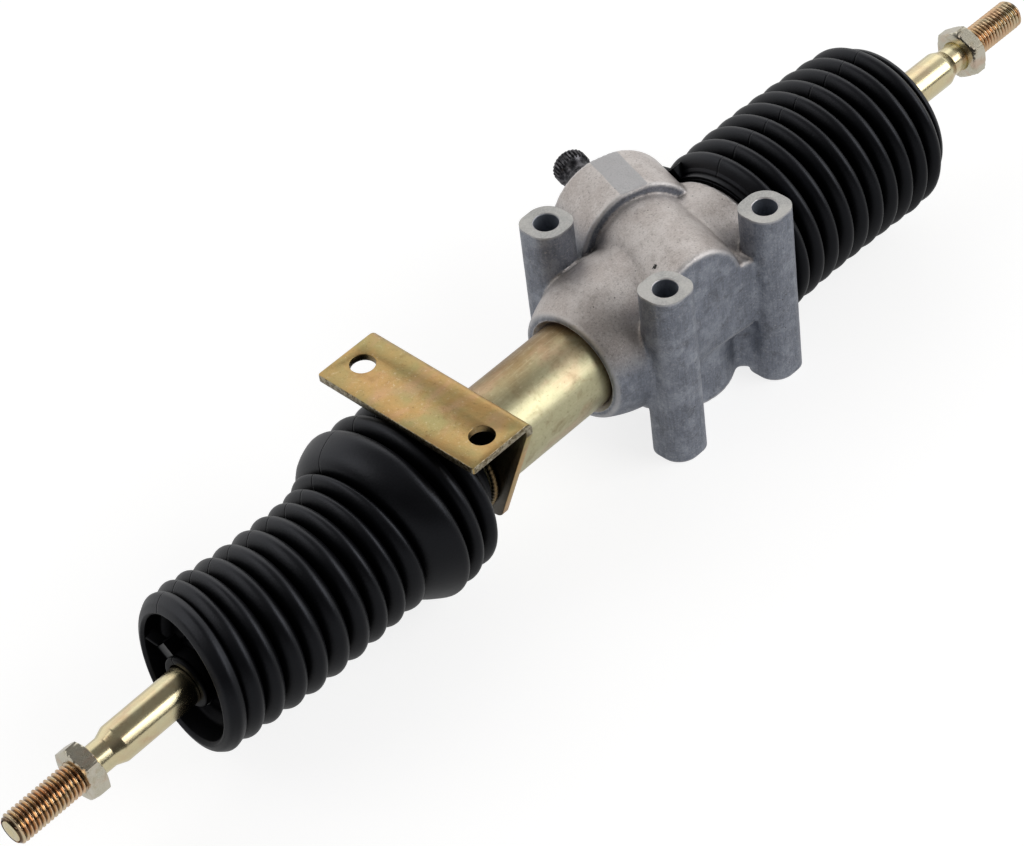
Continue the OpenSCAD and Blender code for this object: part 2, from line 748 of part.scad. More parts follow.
module rack_bar() {
    x0 = left_ball_x + rack_end_gap;
    x1 = right_ball_x - rack_end_gap;
    slope = tan(pressure_angle);
    half_at_line = PI * tooth_module / 4;
    crest = rack_crest - 2;
    stud_hole = stud_length + 1.5;
    color(steel_grey) difference() {
        on_rack_axis(x0) lathe([
            [0, 0], [rack_d / 2 - 1, 0], [rack_d / 2, 1],
            [rack_d / 2, x1 - x0 - 1], [rack_d / 2 - 1, x1 - x0], [0, x1 - x0]
        ]);
        on_rack_axis(x0 - 1) cylinder(r = stud_d / 2 + seat_gap, h = stud_hole + 1);
        on_rack_axis(x1 - stud_hole) cylinder(r = stud_d / 2 + seat_gap, h = stud_hole + 1);
        tooth_flat(crest);
        for (k = [-rack_teeth_half:rack_teeth_half]) translate([k * rack_step, 0, 0]) on_pinion_axis()
            rotate([0, 0, mesh_roll]) translate([0, 0, -rack_d]) linear_extrude(2 * rack_d) polygon([
                [-half_at_line - (rack_line - crest) * slope, crest],
                [half_at_line + (rack_line - crest) * slope, crest],
                [half_at_line - (rack_root - rack_line) * slope, rack_root],
                [-half_at_line + (rack_root - rack_line) * slope, rack_root]
            ]);
    }
}

// The flat that the teeth are cut into
module tooth_flat(crest) {
    length = (2 * rack_teeth_half + 1) * rack_step + 4;
    translate([cross_x, 0, axis_height]) rotate([asin(up_n[1]) * -1, 0, 0])
        translate([-length / 2, -rack_d, centre_distance - rack_crest]) cube([length, 2 * rack_d, rack_d]);
}

module ball_socket() {
    seat_r = ball_d / 2 + 2 * running_gap + seat_t;
    r = socket_d / 2;
    mouth = 5;
    color(steel_grey) difference() {
        union() {
            translate([0, 0, -socket_face - tab_washer_t - stud_length]) lathe([
                [0, 0], [stud_d / 2 - 1, 0], [stud_d / 2, 1],
                [stud_d / 2, stud_length + 3], [0, stud_length + 3]
            ]);
            lathe([
                [0, -socket_face], [r - 0.8, -socket_face], [r, -socket_face + 0.8], [r, 1.5],
                [r - 1, 4.5], [seat_r + 0.6, 8.2], [0, 8.2]
            ]);
        }
        sphere(r = seat_r);
        translate([0, 0, mouth])
            cylinder(r1 = sqrt(seat_r * seat_r - mouth * mouth), r2 = seat_r + 1.2, h = 3.6);
        for (side = [-1, 1]) translate([side * (r - 0.9) - 1.5, -r, -socket_face - 1]) cube([3, 2 * r, 6]);
    }
}

module left_ball_socket() {
    on_rack_axis_left(left_ball_x) ball_socket();
}

module right_ball_socket() {
    on_rack_axis(right_ball_x) ball_socket();
}

module tab_washer() {
    color(pale_zinc) translate([0, 0, -socket_face - tab_washer_t]) difference() {
        cylinder(r = rack_d / 2 + 1, h = tab_washer_t);
        translate([0, 0, -1]) cylinder(r = stud_d / 2 + seat_gap, h = tab_washer_t + 2);
    }
}

module left_tab_washer() {
    on_rack_axis_left(left_ball_x) tab_washer();
}

module right_tab_washer() {
    on_rack_axis(right_ball_x) tab_washer();
}

module ball_seat() {
    r_in = ball_d / 2 + running_gap;
    mouth = 4.6;
    color(seat_white) difference() {
        sphere(r = r_in + seat_t);
        sphere(r = r_in);
        translate([0, 0, mouth]) cylinder(r = ball_d, h = ball_d);
        translate([0, 0, -ball_d]) cylinder(r = 4, h = ball_d);
    }
}

module left_ball_seat() {
    on_rack_axis_left(left_ball_x) ball_seat();
}

module right_ball_seat() {
    on_rack_axis(right_ball_x) ball_seat();
}

// Room for the drooping shank through a boot's cuff
module shank_room() {
    translate([0, 0, cuff_setback - boot_wall - 2]) cylinder(r = cuff_r, h = tie_rod_length);
}

// One forging: ball, neck, shank, thinner neck and thread, along +Z from the ball's centre. The
// thread's run-out, up to just past the nut, is a little under size.
module tie_rod() {
    shank_end = tie_rod_length - thread_length - 11;
    thread_start = tie_rod_length - thread_length;
    run_out_r = thread_d / 2 - 0.2;
    full_start = tie_rod_length - nut_offset + 0.5;
    color(zinc_gold) {
        sphere(d = ball_d);
        lathe([
            [0, 0], [rod_neck_r, 0], [rod_neck_r, 12.5], [shank_d / 2 - 0.5, 16.6], [shank_d / 2, 17.8],
            [shank_d / 2, shank_end - 1.5], [shank_d / 2 - 0.5, shank_end],
            [neck_rod_d / 2 + 0.25, shank_end + 1.6], [neck_rod_d / 2, shank_end + 3],
            [neck_rod_d / 2, thread_start], [run_out_r, thread_start + 0.6],
            [run_out_r, full_start], [thread_d / 2, full_start + 0.2],
            [thread_d / 2, tie_rod_length - 1.5], [thread_d / 2 - 1.5, tie_rod_length], [0, tie_rod_length]
        ]);
    }
}

module left_tie_rod() {
    on_left_rod() tie_rod();
}

module right_tie_rod() {
    on_right_rod() tie_rod();
}

module jam_nut() {
    corner_r = nut_af / sqrt(3);
    bevel = corner_r - nut_af / 2 + 0.35;
    color(pale_zinc) translate([0, 0, tie_rod_length - nut_offset - nut_t]) difference() {
        intersection() {
            cylinder(r = corner_r, h = nut_t, $fn = 6);
            lathe([
                [0, 0], [corner_r - bevel, 0], [corner_r, bevel * 0.58], [corner_r, nut_t - bevel * 0.58],
                [corner_r - bevel, nut_t], [0, nut_t]
            ]);
        }
        translate([0, 0, -1]) cylinder(r = thread_d / 2 + seat_gap, h = nut_t + 2);
        translate([0, 0, -0.01]) cylinder(r1 = thread_d / 2 + 1, r2 = thread_d / 2, h = 1.01);
        translate([0, 0, nut_t - 1]) cylinder(r1 = thread_d / 2, r2 = thread_d / 2 + 1, h = 1.01);
    }
}

module left_jam_nut() {
    on_left_rod() jam_nut();
}

module right_jam_nut() {
    on_right_rod() jam_nut();
}

// One fall and rise between two crests, f from 0 to 1
function wave(r0, r1, depth, f) =
    r0 + (r1 - r0) * (1 - cos(180 * f)) / 2 - depth * (1 - pow(abs(cos(180 * f)), 1.3));

// Crests along the left boot, as [distance from the collar's start, radius]
function left_crests() = [for (i = [0:left_large_count + left_small_count - 1])
    let (extra = i < left_large_count ? 0 : 0.45)
        [left_boot_x - left_first_x + (i + extra) * left_step, i < left_large_count ? left_large_r : left_small_r]];

function right_crests() =
    [for (i = [0:right_count - 1]) [right_first_x - right_boot_x + i * right_step, right_r]];

function wave_line(crests) = [for (i = [0:len(crests) - 2]) for (k = [0:wave_steps - 1])
    let (a = crests[i], b = crests[i + 1], f = k / wave_steps)
        [wave(a[1], b[1], convolution_depth, f), a[0] + (b[0] - a[0]) * f]];

function inward(line, t) = [for (i = [len(line) - 1:-1:0]) [line[i][0] - t, line[i][1]]];

// The outer end turns inwards into a deep pocket that holds the cuff and its tie
module left_boot() {
    line = wave_line(left_crests());
    seat = tube_d / 2 + seat_gap;
    collar_out = seat + boot_wall;
    last = left_boot_x - left_last_x;
    r = left_small_r;
    tip = last + 4;
    pocket = r - convolution_depth - 2 * boot_wall - 2;
    back = left_boot_x - left_ball_x + cuff_setback;
    color(rubber_black) difference() {
        on_rack_axis_left(left_boot_x) lathe(concat(
            [[seat, 0], [collar_out, 0], [collar_out, boot_collar_l], [collar_out + 4, boot_collar_l + 0.4]],
            line,
            [[r, last], [r - 1, last + 1.8], [r - 3.2, tip - 0.9], [r - 6, tip], [r - 9, tip - 0.7]],
            [[pocket + 0.6, tip - 2.4], [pocket, tip - 4.5], [pocket, back + 1], [pocket - 1, back]],
            [[cuff_r + boot_wall, back], [cuff_r + boot_wall, back + cuff_l], [cuff_r, back + cuff_l]],
            [[cuff_r, back - boot_wall], [pocket + 1, back - boot_wall]],
            [[pocket + boot_wall, back - boot_wall + 1]],
            [[pocket + boot_wall, tip - 5], [r - 8.2, tip - 0.7 - boot_wall], [r - 6, tip - boot_wall]],
            [[r - 4.4, tip - 1.1 - boot_wall], [r - 1.2 - boot_wall, last + 0.6]],
            inward(line, boot_wall),
            [[collar_out + 4, boot_collar_l + 0.4 + boot_wall], [seat, boot_collar_l + boot_wall * 0.6]]
        ));
        on_left_rod() shank_room();
    }
}

module right_boot() {
    line = wave_line(right_crests());
    seat = neck_d / 2 + seat_gap;
    collar_out = seat + boot_wall;
    last = right_last_x - right_boot_x;
    r = right_r;
    cuff_start = last + right_cuff_reach;
    cuff_out = cuff_r + boot_wall;
    cuff_end = cuff_start + cuff_l + 0.8;
    color(rubber_black) difference() {
        on_rack_axis(right_boot_x) lathe(concat(
            [[seat, 0], [collar_out, 0], [collar_out, tie_width + 0.6], [right_r - 3, tie_width + 1.3]],
            line,
            [[r, last], [r - 0.5, last + 2], [r - 3, last + 5], [r - 6.5, last + 8.5], [r - 11, last + 11.6]],
            [[r - 18, cuff_start - 1.2], [cuff_out + 1.4, cuff_start - 0.3], [cuff_out, cuff_start + 0.8]],
            [[cuff_out, cuff_end], [cuff_r, cuff_end]],
            [[cuff_r, cuff_start - boot_wall + 0.4], [r - 18, cuff_start - 1.4 - boot_wall]],
            [[r - 12.4, last + 11.2 - boot_wall], [r - 8, last + 8 - boot_wall * 0.7]],
            [[r - 4.8, last + 4.4], [r - boot_wall - 0.4, last + 1.6]],
            inward(line, boot_wall),
            [[right_r - 3.6, tie_width + 1.3 + boot_wall], [seat, tie_width + 0.9 + boot_wall * 0.5]]
        ));
        on_right_rod() shank_room();
    }
}

// A cable tie around radius r, its head standing on it at the given angle
module cable_tie(r, angle) {
    head_l = 7.5;
    head_h = 5;
    color(blackened) {
        ring(r + tie_t, r, tie_width);
        rotate([0, 0, angle]) translate([r + tie_t * 0.5, -head_l / 2, 0])
            cube([head_h, head_l, tie_width + 0.3]);
        rotate([0, 0, angle]) translate([r + tie_t * 0.5 + 0.8, head_l / 2 - 1, 0.4])
            cube([tie_t, 4, tie_width - 0.8]);
    }
}

module left_boot_inner_tie() {
    on_rack_axis_left(left_boot_x - 0.4) cable_tie(tube_d / 2 + seat_gap + boot_wall + strap_gap, 200);
}

module right_boot_inner_tie() {
    on_rack_axis(right_boot_x + 0.2) cable_tie(neck_d / 2 + seat_gap + boot_wall + strap_gap, 140);
}

module left_boot_outer_tie() {
    on_rack_axis_left(left_ball_x - cuff_setback - 0.6) cable_tie(cuff_r + boot_wall + strap_gap, 35);
}

module right_boot_outer_tie() {
    on_rack_axis(right_last_x + right_cuff_reach + 1.2) cable_tie(cuff_r + boot_wall + strap_gap, 150);
}

pinion_housing();
rack_tube();
mounting_bracket();
bracket_weld();
rack_bush();
bush_retaining_ring();
rack_guide_yoke();
yoke_liner();
yoke_spring();
yoke_plug();
yoke_seal_ring();
yoke_lock_ring();
lower_needle_bush();
bearing_outer_ring();
bearing_retaining_ring();
pinion_seal();
left_boot();
right_boot();
left_boot_inner_tie();
right_boot_inner_tie();
rack_bar();
left_ball_socket();
right_ball_socket();
left_tab_washer();
right_tab_washer();
left_ball_seat();
right_ball_seat();
left_tie_rod();
right_tie_rod();
left_jam_nut();
right_jam_nut();
left_boot_outer_tie();
right_boot_outer_tie();
pinion_shaft();
bearing_inner_ring();
pinion_circlip();
bearing_balls();
bearing_cage();
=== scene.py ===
"""Steering rack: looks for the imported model. Metres, in the frame of the model."""

import json
from contextlib import contextmanager
from math import acos, atan2, cos, pi, radians, sin, sqrt, tan

import bmesh
import bpy
import numpy as np
from mathutils import Matrix, Vector


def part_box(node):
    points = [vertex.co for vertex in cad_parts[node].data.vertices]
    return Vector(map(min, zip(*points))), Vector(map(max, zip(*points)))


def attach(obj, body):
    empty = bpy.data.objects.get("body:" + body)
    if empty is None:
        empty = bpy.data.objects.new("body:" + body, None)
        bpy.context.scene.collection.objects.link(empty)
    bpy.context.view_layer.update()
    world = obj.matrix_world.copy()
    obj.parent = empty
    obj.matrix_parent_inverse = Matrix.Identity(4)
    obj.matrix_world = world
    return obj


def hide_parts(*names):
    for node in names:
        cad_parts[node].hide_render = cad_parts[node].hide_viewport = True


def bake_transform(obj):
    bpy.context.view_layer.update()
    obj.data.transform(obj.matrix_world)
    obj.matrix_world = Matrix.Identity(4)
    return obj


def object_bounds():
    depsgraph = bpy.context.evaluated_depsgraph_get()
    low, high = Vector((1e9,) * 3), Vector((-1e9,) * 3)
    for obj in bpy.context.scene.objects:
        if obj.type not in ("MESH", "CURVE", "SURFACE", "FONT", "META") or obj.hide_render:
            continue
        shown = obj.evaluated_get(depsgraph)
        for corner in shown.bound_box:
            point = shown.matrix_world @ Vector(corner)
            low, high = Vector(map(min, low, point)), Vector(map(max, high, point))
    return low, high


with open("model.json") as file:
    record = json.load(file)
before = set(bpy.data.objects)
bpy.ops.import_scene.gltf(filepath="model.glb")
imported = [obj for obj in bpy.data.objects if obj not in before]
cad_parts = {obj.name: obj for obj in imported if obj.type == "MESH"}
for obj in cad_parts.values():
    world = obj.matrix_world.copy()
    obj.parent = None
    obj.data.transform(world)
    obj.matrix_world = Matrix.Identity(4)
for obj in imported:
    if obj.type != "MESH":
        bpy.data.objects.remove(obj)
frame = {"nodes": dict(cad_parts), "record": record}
cad_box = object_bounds()

MM = 0.001
RACK_AXIS = 40.0
SEAM_ANGLES = (61.0, 83.0)
POSTS = ((0.0, 28.75), (0.0, -28.75), (54.0, -28.75))
POST_TOP = 78.5
GUIDE = (28.5, 0.0)
TOWER_FLAT = 24.15
BEND, BEND_SEEN, PLATE_REACH = 4.5, 3.4, 2.3
BEND_TOWARDS = radians(37.7)
PINION_U = Vector((0.3245645, 0.9426039, -0.0784591)).normalized()
PINION_FOOT = Vector((28.5, 1.2028, 54.45))
PINION_R = PINION_U.cross(Vector((0, 0, 1))).normalized()
PINION_T = PINION_R.cross(PINION_U)
BALLS = {"left": -188.5, "right": 132.0}
OUT = {"left": -1, "right": 1}
ROD_DROOP = radians(1.3)
ROD_LENGTH = 103.0
TIES = {
    "left_boot_inner_tie": ("housing", -87.4, -1, 19.72, 70, (0.0, 0.3, 1.0, 4.0)),
    "right_boot_inner_tie": ("housing", 61.55, 1, 27.74, 40, (-0.3, 0.75, -0.6, 6.5)),
    "left_boot_outer_tie": ("left_rod", -206.7, -1, 9.25, 40, (0.15, 0.9, -0.35, 7.5)),
    "right_boot_outer_tie": ("right_rod", 161.9, 1, 9.35, 250, (0.0, 0.5, 0.8, 5.0)),
}
THREAD_LENGTH = 34.0
NUT_THICK = 7.0
NUT_START = ROD_LENGTH - 28.4 - NUT_THICK
NUT_TURN = {"left": 42.0, "right": 56.0}
TUBE_RADIUS, TUBE_BORE = 17.5, 14.5
POST_WIDTH, POST_BORE = 17.2, 4.7
BARREL_RADIUS, COLLAR_FLARE, NECK_RADIUS = 28.0, 5.7, 25.5
PINION_BARREL_RADIUS, TOWER_RADIUS, GUIDE_RADIUS = 20.5, 24.8, 23.5
FOLD_STEPS = 16
CURVE_TOP = 50.0
FULL_TURN = 2 * pi


# ---------------------------------------------------------------- arithmetic in node trees


def plug(tree, socket, value):
    """Links a value to a socket, or sets it there."""
    if isinstance(value, Amount):
        value = value.socket
    if isinstance(value, bpy.types.NodeSocket):
        tree.links.new(value, socket)
    else:
        socket.default_value = value


def add_node(tree, kind, settings=None, **inputs):
    """Adds a node; an input is given by its name, or by its place as in_0, in_1, ..."""
    node = tree.nodes.new(kind)
    for name, value in (settings or {}).items():
        setattr(node, name, value)
    for name, value in inputs.items():
        place = int(name[3:]) if name.startswith("in_") else name.replace("_", " ")
        plug(tree, node.inputs[place], value)
    return node


def read(tree, kind, settings=None, out=0, **inputs):
    """Adds a node and gives one of its outputs as an amount."""
    return Amount(tree, add_node(tree, kind, settings, **inputs).outputs[out])


def work_out(tree, operation, *values):
    inputs = {f"in_{place}": value for place, value in enumerate(values)}
    return read(tree, "ShaderNodeMath", {"operation": operation}, **inputs)


def vector_math(tree, operation, first, second=None, scale=None, out=0):
    node = add_node(tree, "ShaderNodeVectorMath", {"operation": operation}, in_0=first)
    if second is not None:
        plug(tree, node.inputs[1], second)
    if scale is not None:
        plug(tree, node.inputs["Scale"], scale)
    return node.outputs[out]


def split(tree, vector):
    node = add_node(tree, "ShaderNodeSeparateXYZ", Vector=vector)
    return [Amount(tree, socket) for socket in node.outputs]


def math_method(operation, swapped=False):
    def method(self, *others):
        return work_out(self.tree, operation, *((*others, self) if swapped else (self, *others)))

    return method


class Amount:
    """A number inside a node tree; arithmetic on it adds Math nodes."""

    def __init__(self, tree, socket):
        self.tree = tree
        self.socket = socket

    __add__ = __radd__ = math_method("ADD")
    __sub__ = math_method("SUBTRACT")
    __rsub__ = math_method("SUBTRACT", swapped=True)
    __mul__ = __rmul__ = math_method("MULTIPLY")
    __truediv__ = math_method("DIVIDE")
    __pow__ = math_method("POWER")
    sine = math_method("SINE")
    cosine = math_method("COSINE")
    size = math_method("ABSOLUTE")
    fraction = math_method("FRACT")
    lesser = math_method("MINIMUM")
    greater = math_method("MAXIMUM")
    below = math_method("LESS_THAN")

    def __neg__(self):
        return self * -1.0

    def within(self, low, high):
        return self.greater(low).lesser(high)

    def stepped(self, low, high):
        """0 below low, 1 above high, smooth between."""
        t = ((self - low) / (high - low)).within(0.0, 1.0)
        return t * t * (3.0 - 2.0 * t)


# ---------------------------------------------------------------- recipes that grow a piece


class Recipe:
    """A Geometry Nodes tree with named inputs for its sizes, all in metres."""

    def __init__(self, name, **sizes):
        self.tree = bpy.data.node_groups.new(name, "GeometryNodeTree")
        self.tree.is_modifier = True
        self.sockets = {}
        for label, start in sizes.items():
            kind = "NodeSocketInt" if isinstance(start, int) else "NodeSocketFloat"
            self.add_input(label, kind).default_value = start
        self.add_input("Finish", "NodeSocketMaterial")
        self.tree.interface.new_socket("Piece", in_out="OUTPUT", socket_type="NodeSocketGeometry")
        self.given = self.tree.nodes.new("NodeGroupInput")

    def add_input(self, label, kind):
        socket = self.tree.interface.new_socket(label.replace("_", " "), in_out="INPUT", socket_type=kind)
        self.sockets[label] = socket.identifier
        return socket

    def __getitem__(self, label):
        return Amount(self.tree, self.given.outputs[label.replace("_", " ")])

    def node(self, kind, settings=None, **inputs):
        return add_node(self.tree, kind, settings, **inputs)

    def sheet(self, along, around):
        """A sheet of vertices, with the amounts that run from 0 to 1 along it and around it."""
        grid = self.node("GeometryNodeMeshGrid", Size_X=1.0, Size_Y=1.0, Vertices_X=along, Vertices_Y=around)
        x, y, _ = split(self.tree, self.node("GeometryNodeInputPosition").outputs[0])
        return grid.outputs["Mesh"], x + 0.5, y + 0.5

    def wave(self, x, y, z, size, seed):
        """Soft random amount from -0.5 to 0.5, with features of about that size."""
        at = self.node("ShaderNodeCombineXYZ", X=x, Y=y, Z=z).outputs[0]
        settings = {"noise_dimensions": "4D"}
        return read(self.tree, "ShaderNodeTexNoise", settings, Vector=at, W=seed, Scale=1.0 / size, Detail=1.0) - 0.5

    def curve(self, factor, points, handles="AUTO"):
        """The amount read off a drawn curve through the points."""
        node = self.node("ShaderNodeFloatCurve", Factor=1.0, Value=factor)
        line = node.mapping.curves[0]
        line.points[0].location = points[0]
        line.points[1].location = points[-1]
        for point in points[1:-1]:
            line.points.new(*point)
        for point in line.points:
            point.handle_type = handles
        node.mapping.update()
        return Amount(self.tree, node.outputs[0])

    def placed(self, geometry, x, y, z):
        at = self.node("ShaderNodeCombineXYZ", X=x, Y=y, Z=z)
        return self.node("GeometryNodeSetPosition", Geometry=geometry, Position=at.outputs[0]).outputs[0]


    def rolled(self, mesh, x, r, angle):
        """Wraps the sheet round the rack axis and gives it out."""
        self.output(self.placed(mesh, x, r * angle.cosine(), self["Axis_height"] + r * angle.sine()))

    def output(self, geometry):
        real = self.node("GeometryNodeRealizeInstances", Geometry=geometry)
        painted = self.node("GeometryNodeSetMaterial", Geometry=real.outputs[0], Material=self.given.outputs["Finish"])
        out = self.tree.nodes.new("NodeGroupOutput")
        self.tree.links.new(painted.outputs[0], out.inputs[0])


def add_object(name, mesh):
    piece = bpy.data.objects.new(name, mesh)
    bpy.context.scene.collection.objects.link(piece)
    return piece


@contextmanager
def reshaped(mesh):
    """Opens a mesh for changes and writes them back."""
    shape = bmesh.new()
    shape.from_mesh(mesh)
    yield shape
    shape.to_mesh(mesh)
    shape.free()


def settle(piece):
    """Turns the modifiers into plain mesh."""
    graph = bpy.context.evaluated_depsgraph_get()
    mesh = bpy.data.meshes.new_from_object(piece.evaluated_get(graph), depsgraph=graph)
    piece.modifiers.clear()
    piece.data = mesh
    mesh.name = piece.name
    return piece


def tidy(piece, sharp=35, merge=1e-6):
    """Joins what meets, turns the faces outward and shades them smooth between sharp edges."""
    mesh = piece.data
    with reshaped(mesh) as shape:
        bmesh.ops.remove_doubles(shape, verts=shape.verts, dist=merge)
        bmesh.ops.dissolve_degenerate(shape, edges=shape.edges, dist=merge)
        bmesh.ops.recalc_face_normals(shape, faces=shape.faces)
    mesh.polygons.foreach_set("use_smooth", [True] * len(mesh.polygons))
    mesh.set_sharp_from_angle(angle=radians(sharp))
    return piece


def grow(recipe, name, finish, sharp=35, **sizes):
    """Runs a recipe once and keeps the result as a plain mesh."""
    piece = add_object(name, bpy.data.meshes.new(name))
    modifier = piece.modifiers.new(name, "NODES")
    modifier.node_group = recipe.tree
    for label, size in sizes.items():
        modifier[recipe.sockets[label]] = size
    modifier[recipe.sockets["Finish"]] = finish
    settle(piece)
    return tidy(piece, sharp)


# ---------------------------------------------------------------- other ways to make a piece


def along_rack(s, angle, r):
    """Places (s, angle, r) round the rack axis."""
    return (s, r * np.cos(angle), RACK_AXIS + r * np.sin(angle))


def along_rod(side):
    """Places (s, angle, r) round a drooping tie rod; s runs outward from its inner ball."""
    out = OUT[side]

    def place(s, angle, r):
        high = r * np.sin(angle)
        return (
            BALLS[side] + out * (s * cos(ROD_DROOP) + high * sin(ROD_DROOP)),
            r * np.cos(angle),
            RACK_AXIS - s * sin(ROD_DROOP) + high * cos(ROD_DROOP),
        )

    return place


def along_pinion(s, angle, r):
    x, y, z = (
        PINION_FOOT[i] + PINION_U[i] * s + PINION_R[i] * r * np.cos(angle) + PINION_T[i] * r * np.sin(angle)
        for i in range(3)
    )
    return (x, y, z)


def eased(outline, steps=4):
    """Rounds the corners of an outline of (s, r) or (s, r, easing) points."""
    points = []
    for i, corner in enumerate(outline):
        here = np.array(corner[:2], float)
        radius = corner[2] if len(corner) > 2 else 0
        if not radius or i in (0, len(outline) - 1):
            points.append(tuple(here))
            continue
        back = np.array(outline[i - 1][:2], float) - here
        on = np.array(outline[i + 1][:2], float) - here
        a, b = np.hypot(*back), np.hypot(*on)
        back, on = back / a, on / b
        half = acos(float(np.clip(back @ on, -1, 1))) / 2
        if half > radians(86):
            points.append(tuple(here))
            continue
        reach = min(radius / tan(half), a * 0.48, b * 0.48)
        start, end = here + back * reach, here + on * reach
        for k in range(steps + 1):
            t = k / steps
            points.append(tuple((1 - t) ** 2 * start + 2 * t * (1 - t) * here + t * t * end))
    return points


def swept(name, x, y, z, finish, closed=True):
    """Skins rings of places in millimetres; closed joins the last ring to the first."""
    co = np.stack(np.broadcast_arrays(x, y, z), -1) * MM
    rows, steps = co.shape[:2]
    faces = []
    for i in range(rows if closed else rows - 1):
        here, there = i * steps, (i + 1) % rows * steps
        for k in range(steps):
            on = (k + 1) % steps
            faces.append((here + k, here + on, there + on, there + k))
    mesh = bpy.data.meshes.new(name)
    mesh.from_pydata(co.reshape(-1, 3).tolist(), [], faces)
    mesh.materials.append(finish)
    return add_object(name, mesh)


def turned(name, outline, place, finish, steps=96, closed=False, sharp=35):
    """A turned piece: its outline is swept right round the axis."""
    s, r = (np.array(column)[:, None] for column in zip(*eased(outline)))
    angle = np.linspace(0, FULL_TURN, steps, endpoint=False)[None, :]
    return tidy(swept(name, *place(s + 0 * angle, angle, r + 0 * angle), finish, closed), sharp)


def merged_copy(name, node, finish):
    """A copy of a solid's mesh whose triangles are joined into flat faces."""
    mesh = frame["nodes"][node].data.copy()
    mesh.name = name
    with reshaped(mesh) as shape:
        bmesh.ops.remove_doubles(shape, verts=shape.verts, dist=2e-6)
        bmesh.ops.dissolve_limit(
            shape, angle_limit=radians(0.5), use_dissolve_boundaries=False, verts=shape.verts, edges=shape.edges
        )
    mesh.materials.clear()
    mesh.materials.append(finish)
    return add_object(name, mesh)


def eased_edges(piece, width, angle):
    """Eases the edges of a piece, as tumbling or plating does."""
    bevel = piece.modifiers.new("Eased edges", "BEVEL")
    bevel.width = width * MM
    bevel.segments = 2
    bevel.limit_method = "ANGLE"
    bevel.angle_limit = radians(angle)
    bevel.harden_normals = False
    return tidy(settle(piece), 40, merge=1e-7)


def fitted(piece, body, node):
    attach(piece, body)
    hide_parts(node)


# ---------------------------------------------------------------- finishes


def tone(*screen):
    """A colour as it is read off a screen, made linear."""
    linear = ((c / 12.92 if c <= 0.04045 else ((c + 0.055) / 1.055) ** 2.4) for c in (value / 255 for value in screen))
    return (*linear, 1.0)


class Surface:
    """A procedural finish on Object coordinates, in millimetres."""

    def __init__(self, name, **settings):
        self.material = bpy.data.materials.new(name)
        self.material.use_nodes = True
        self.tree = self.material.node_tree
        self.shader = self.tree.nodes["Principled BSDF"]
        for label, value in settings.items():
            self.shader.inputs[label.replace("_", " ")].default_value = value
        coords = self.tree.nodes.new("ShaderNodeTexCoord")
        self.at = vector_math(self.tree, "SCALE", coords.outputs["Object"], scale=1000.0)
        self.x, self.y, self.z = split(self.tree, self.at)

    def stretched(self, x, y, z):
        return add_node(self.tree, "ShaderNodeMapping", Vector=self.at, Scale=(x, y, z)).outputs[0]

    def noise(self, size, detail=3.0, roughness=0.55, distortion=0.0, at=None):
        return read(
            self.tree, "ShaderNodeTexNoise",
            Vector=at or self.at, Scale=1.0 / size, Detail=detail, Roughness=roughness, Distortion=distortion,
        )

    def cells(self, size):
        return read(self.tree, "ShaderNodeTexVoronoi", out="Distance", Vector=self.at, Scale=1.0 / size, Randomness=1.0)

    def openness(self, reach, own=False):
        """1 where nothing lies near within that reach; own counts only the piece itself."""
        settings = {"samples": 6, "only_local": own}
        return read(self.tree, "ShaderNodeAmbientOcclusion", settings, out="AO", Distance=reach * MM)

    def geometry(self, out):
        return self.tree.nodes.new("ShaderNodeNewGeometry").outputs[out]

    def near(self, x, y, z):
        """Distance from a place, in millimetres."""
        return Amount(self.tree, vector_math(self.tree, "DISTANCE", self.at, (x, y, z), out=1))

    def dot(self, vector, direction):
        return Amount(self.tree, vector_math(self.tree, "DOT_PRODUCT", vector, tuple(direction), out=1))

    def along_pinion(self, direction):
        """How far along a direction from the foot of the pinion."""
        return self.dot(vector_math(self.tree, "SUBTRACT", self.at, tuple(PINION_FOOT)), direction)

    def away_from_rack(self):
        high = self.z - RACK_AXIS
        return (self.y * self.y + high * high) ** 0.5

    def away_from_posts(self):
        """Distance from the nearest axis of a bolt post."""
        aways = [((self.x - x) * (self.x - x) + (self.y - y) * (self.y - y)) ** 0.5 for x, y in POSTS]
        return aways[0].lesser(aways[1]).lesser(aways[2])

    def mixed(self, factor, first, second):
        settings = {"data_type": "RGBA"}
        return add_node(self.tree, "ShaderNodeMix", settings, in_0=factor, in_6=first, in_7=second).outputs[2]

    def coat(self, amount, *screen):
        """Lays a colour over what is there, as far as the amount says."""
        self.base = self.mixed(amount, self.base, tone(*screen))

    def relief(self, height, depth):
        """Bumps of that depth in millimetres where height goes from 0 to 1; calls add up."""
        bump = add_node(self.tree, "ShaderNodeBump", Height=height, Distance=depth * MM, Strength=1.0)
        normal = self.shader.inputs["Normal"]
        if normal.links:
            self.tree.links.new(normal.links[0].from_socket, bump.inputs["Normal"])
        self.tree.links.new(bump.outputs[0], normal)

    def finished(self, rough):
        plug(self.tree, self.shader.inputs["Base Color"], self.base)
        plug(self.tree, self.shader.inputs["Roughness"], rough)
        return self.material


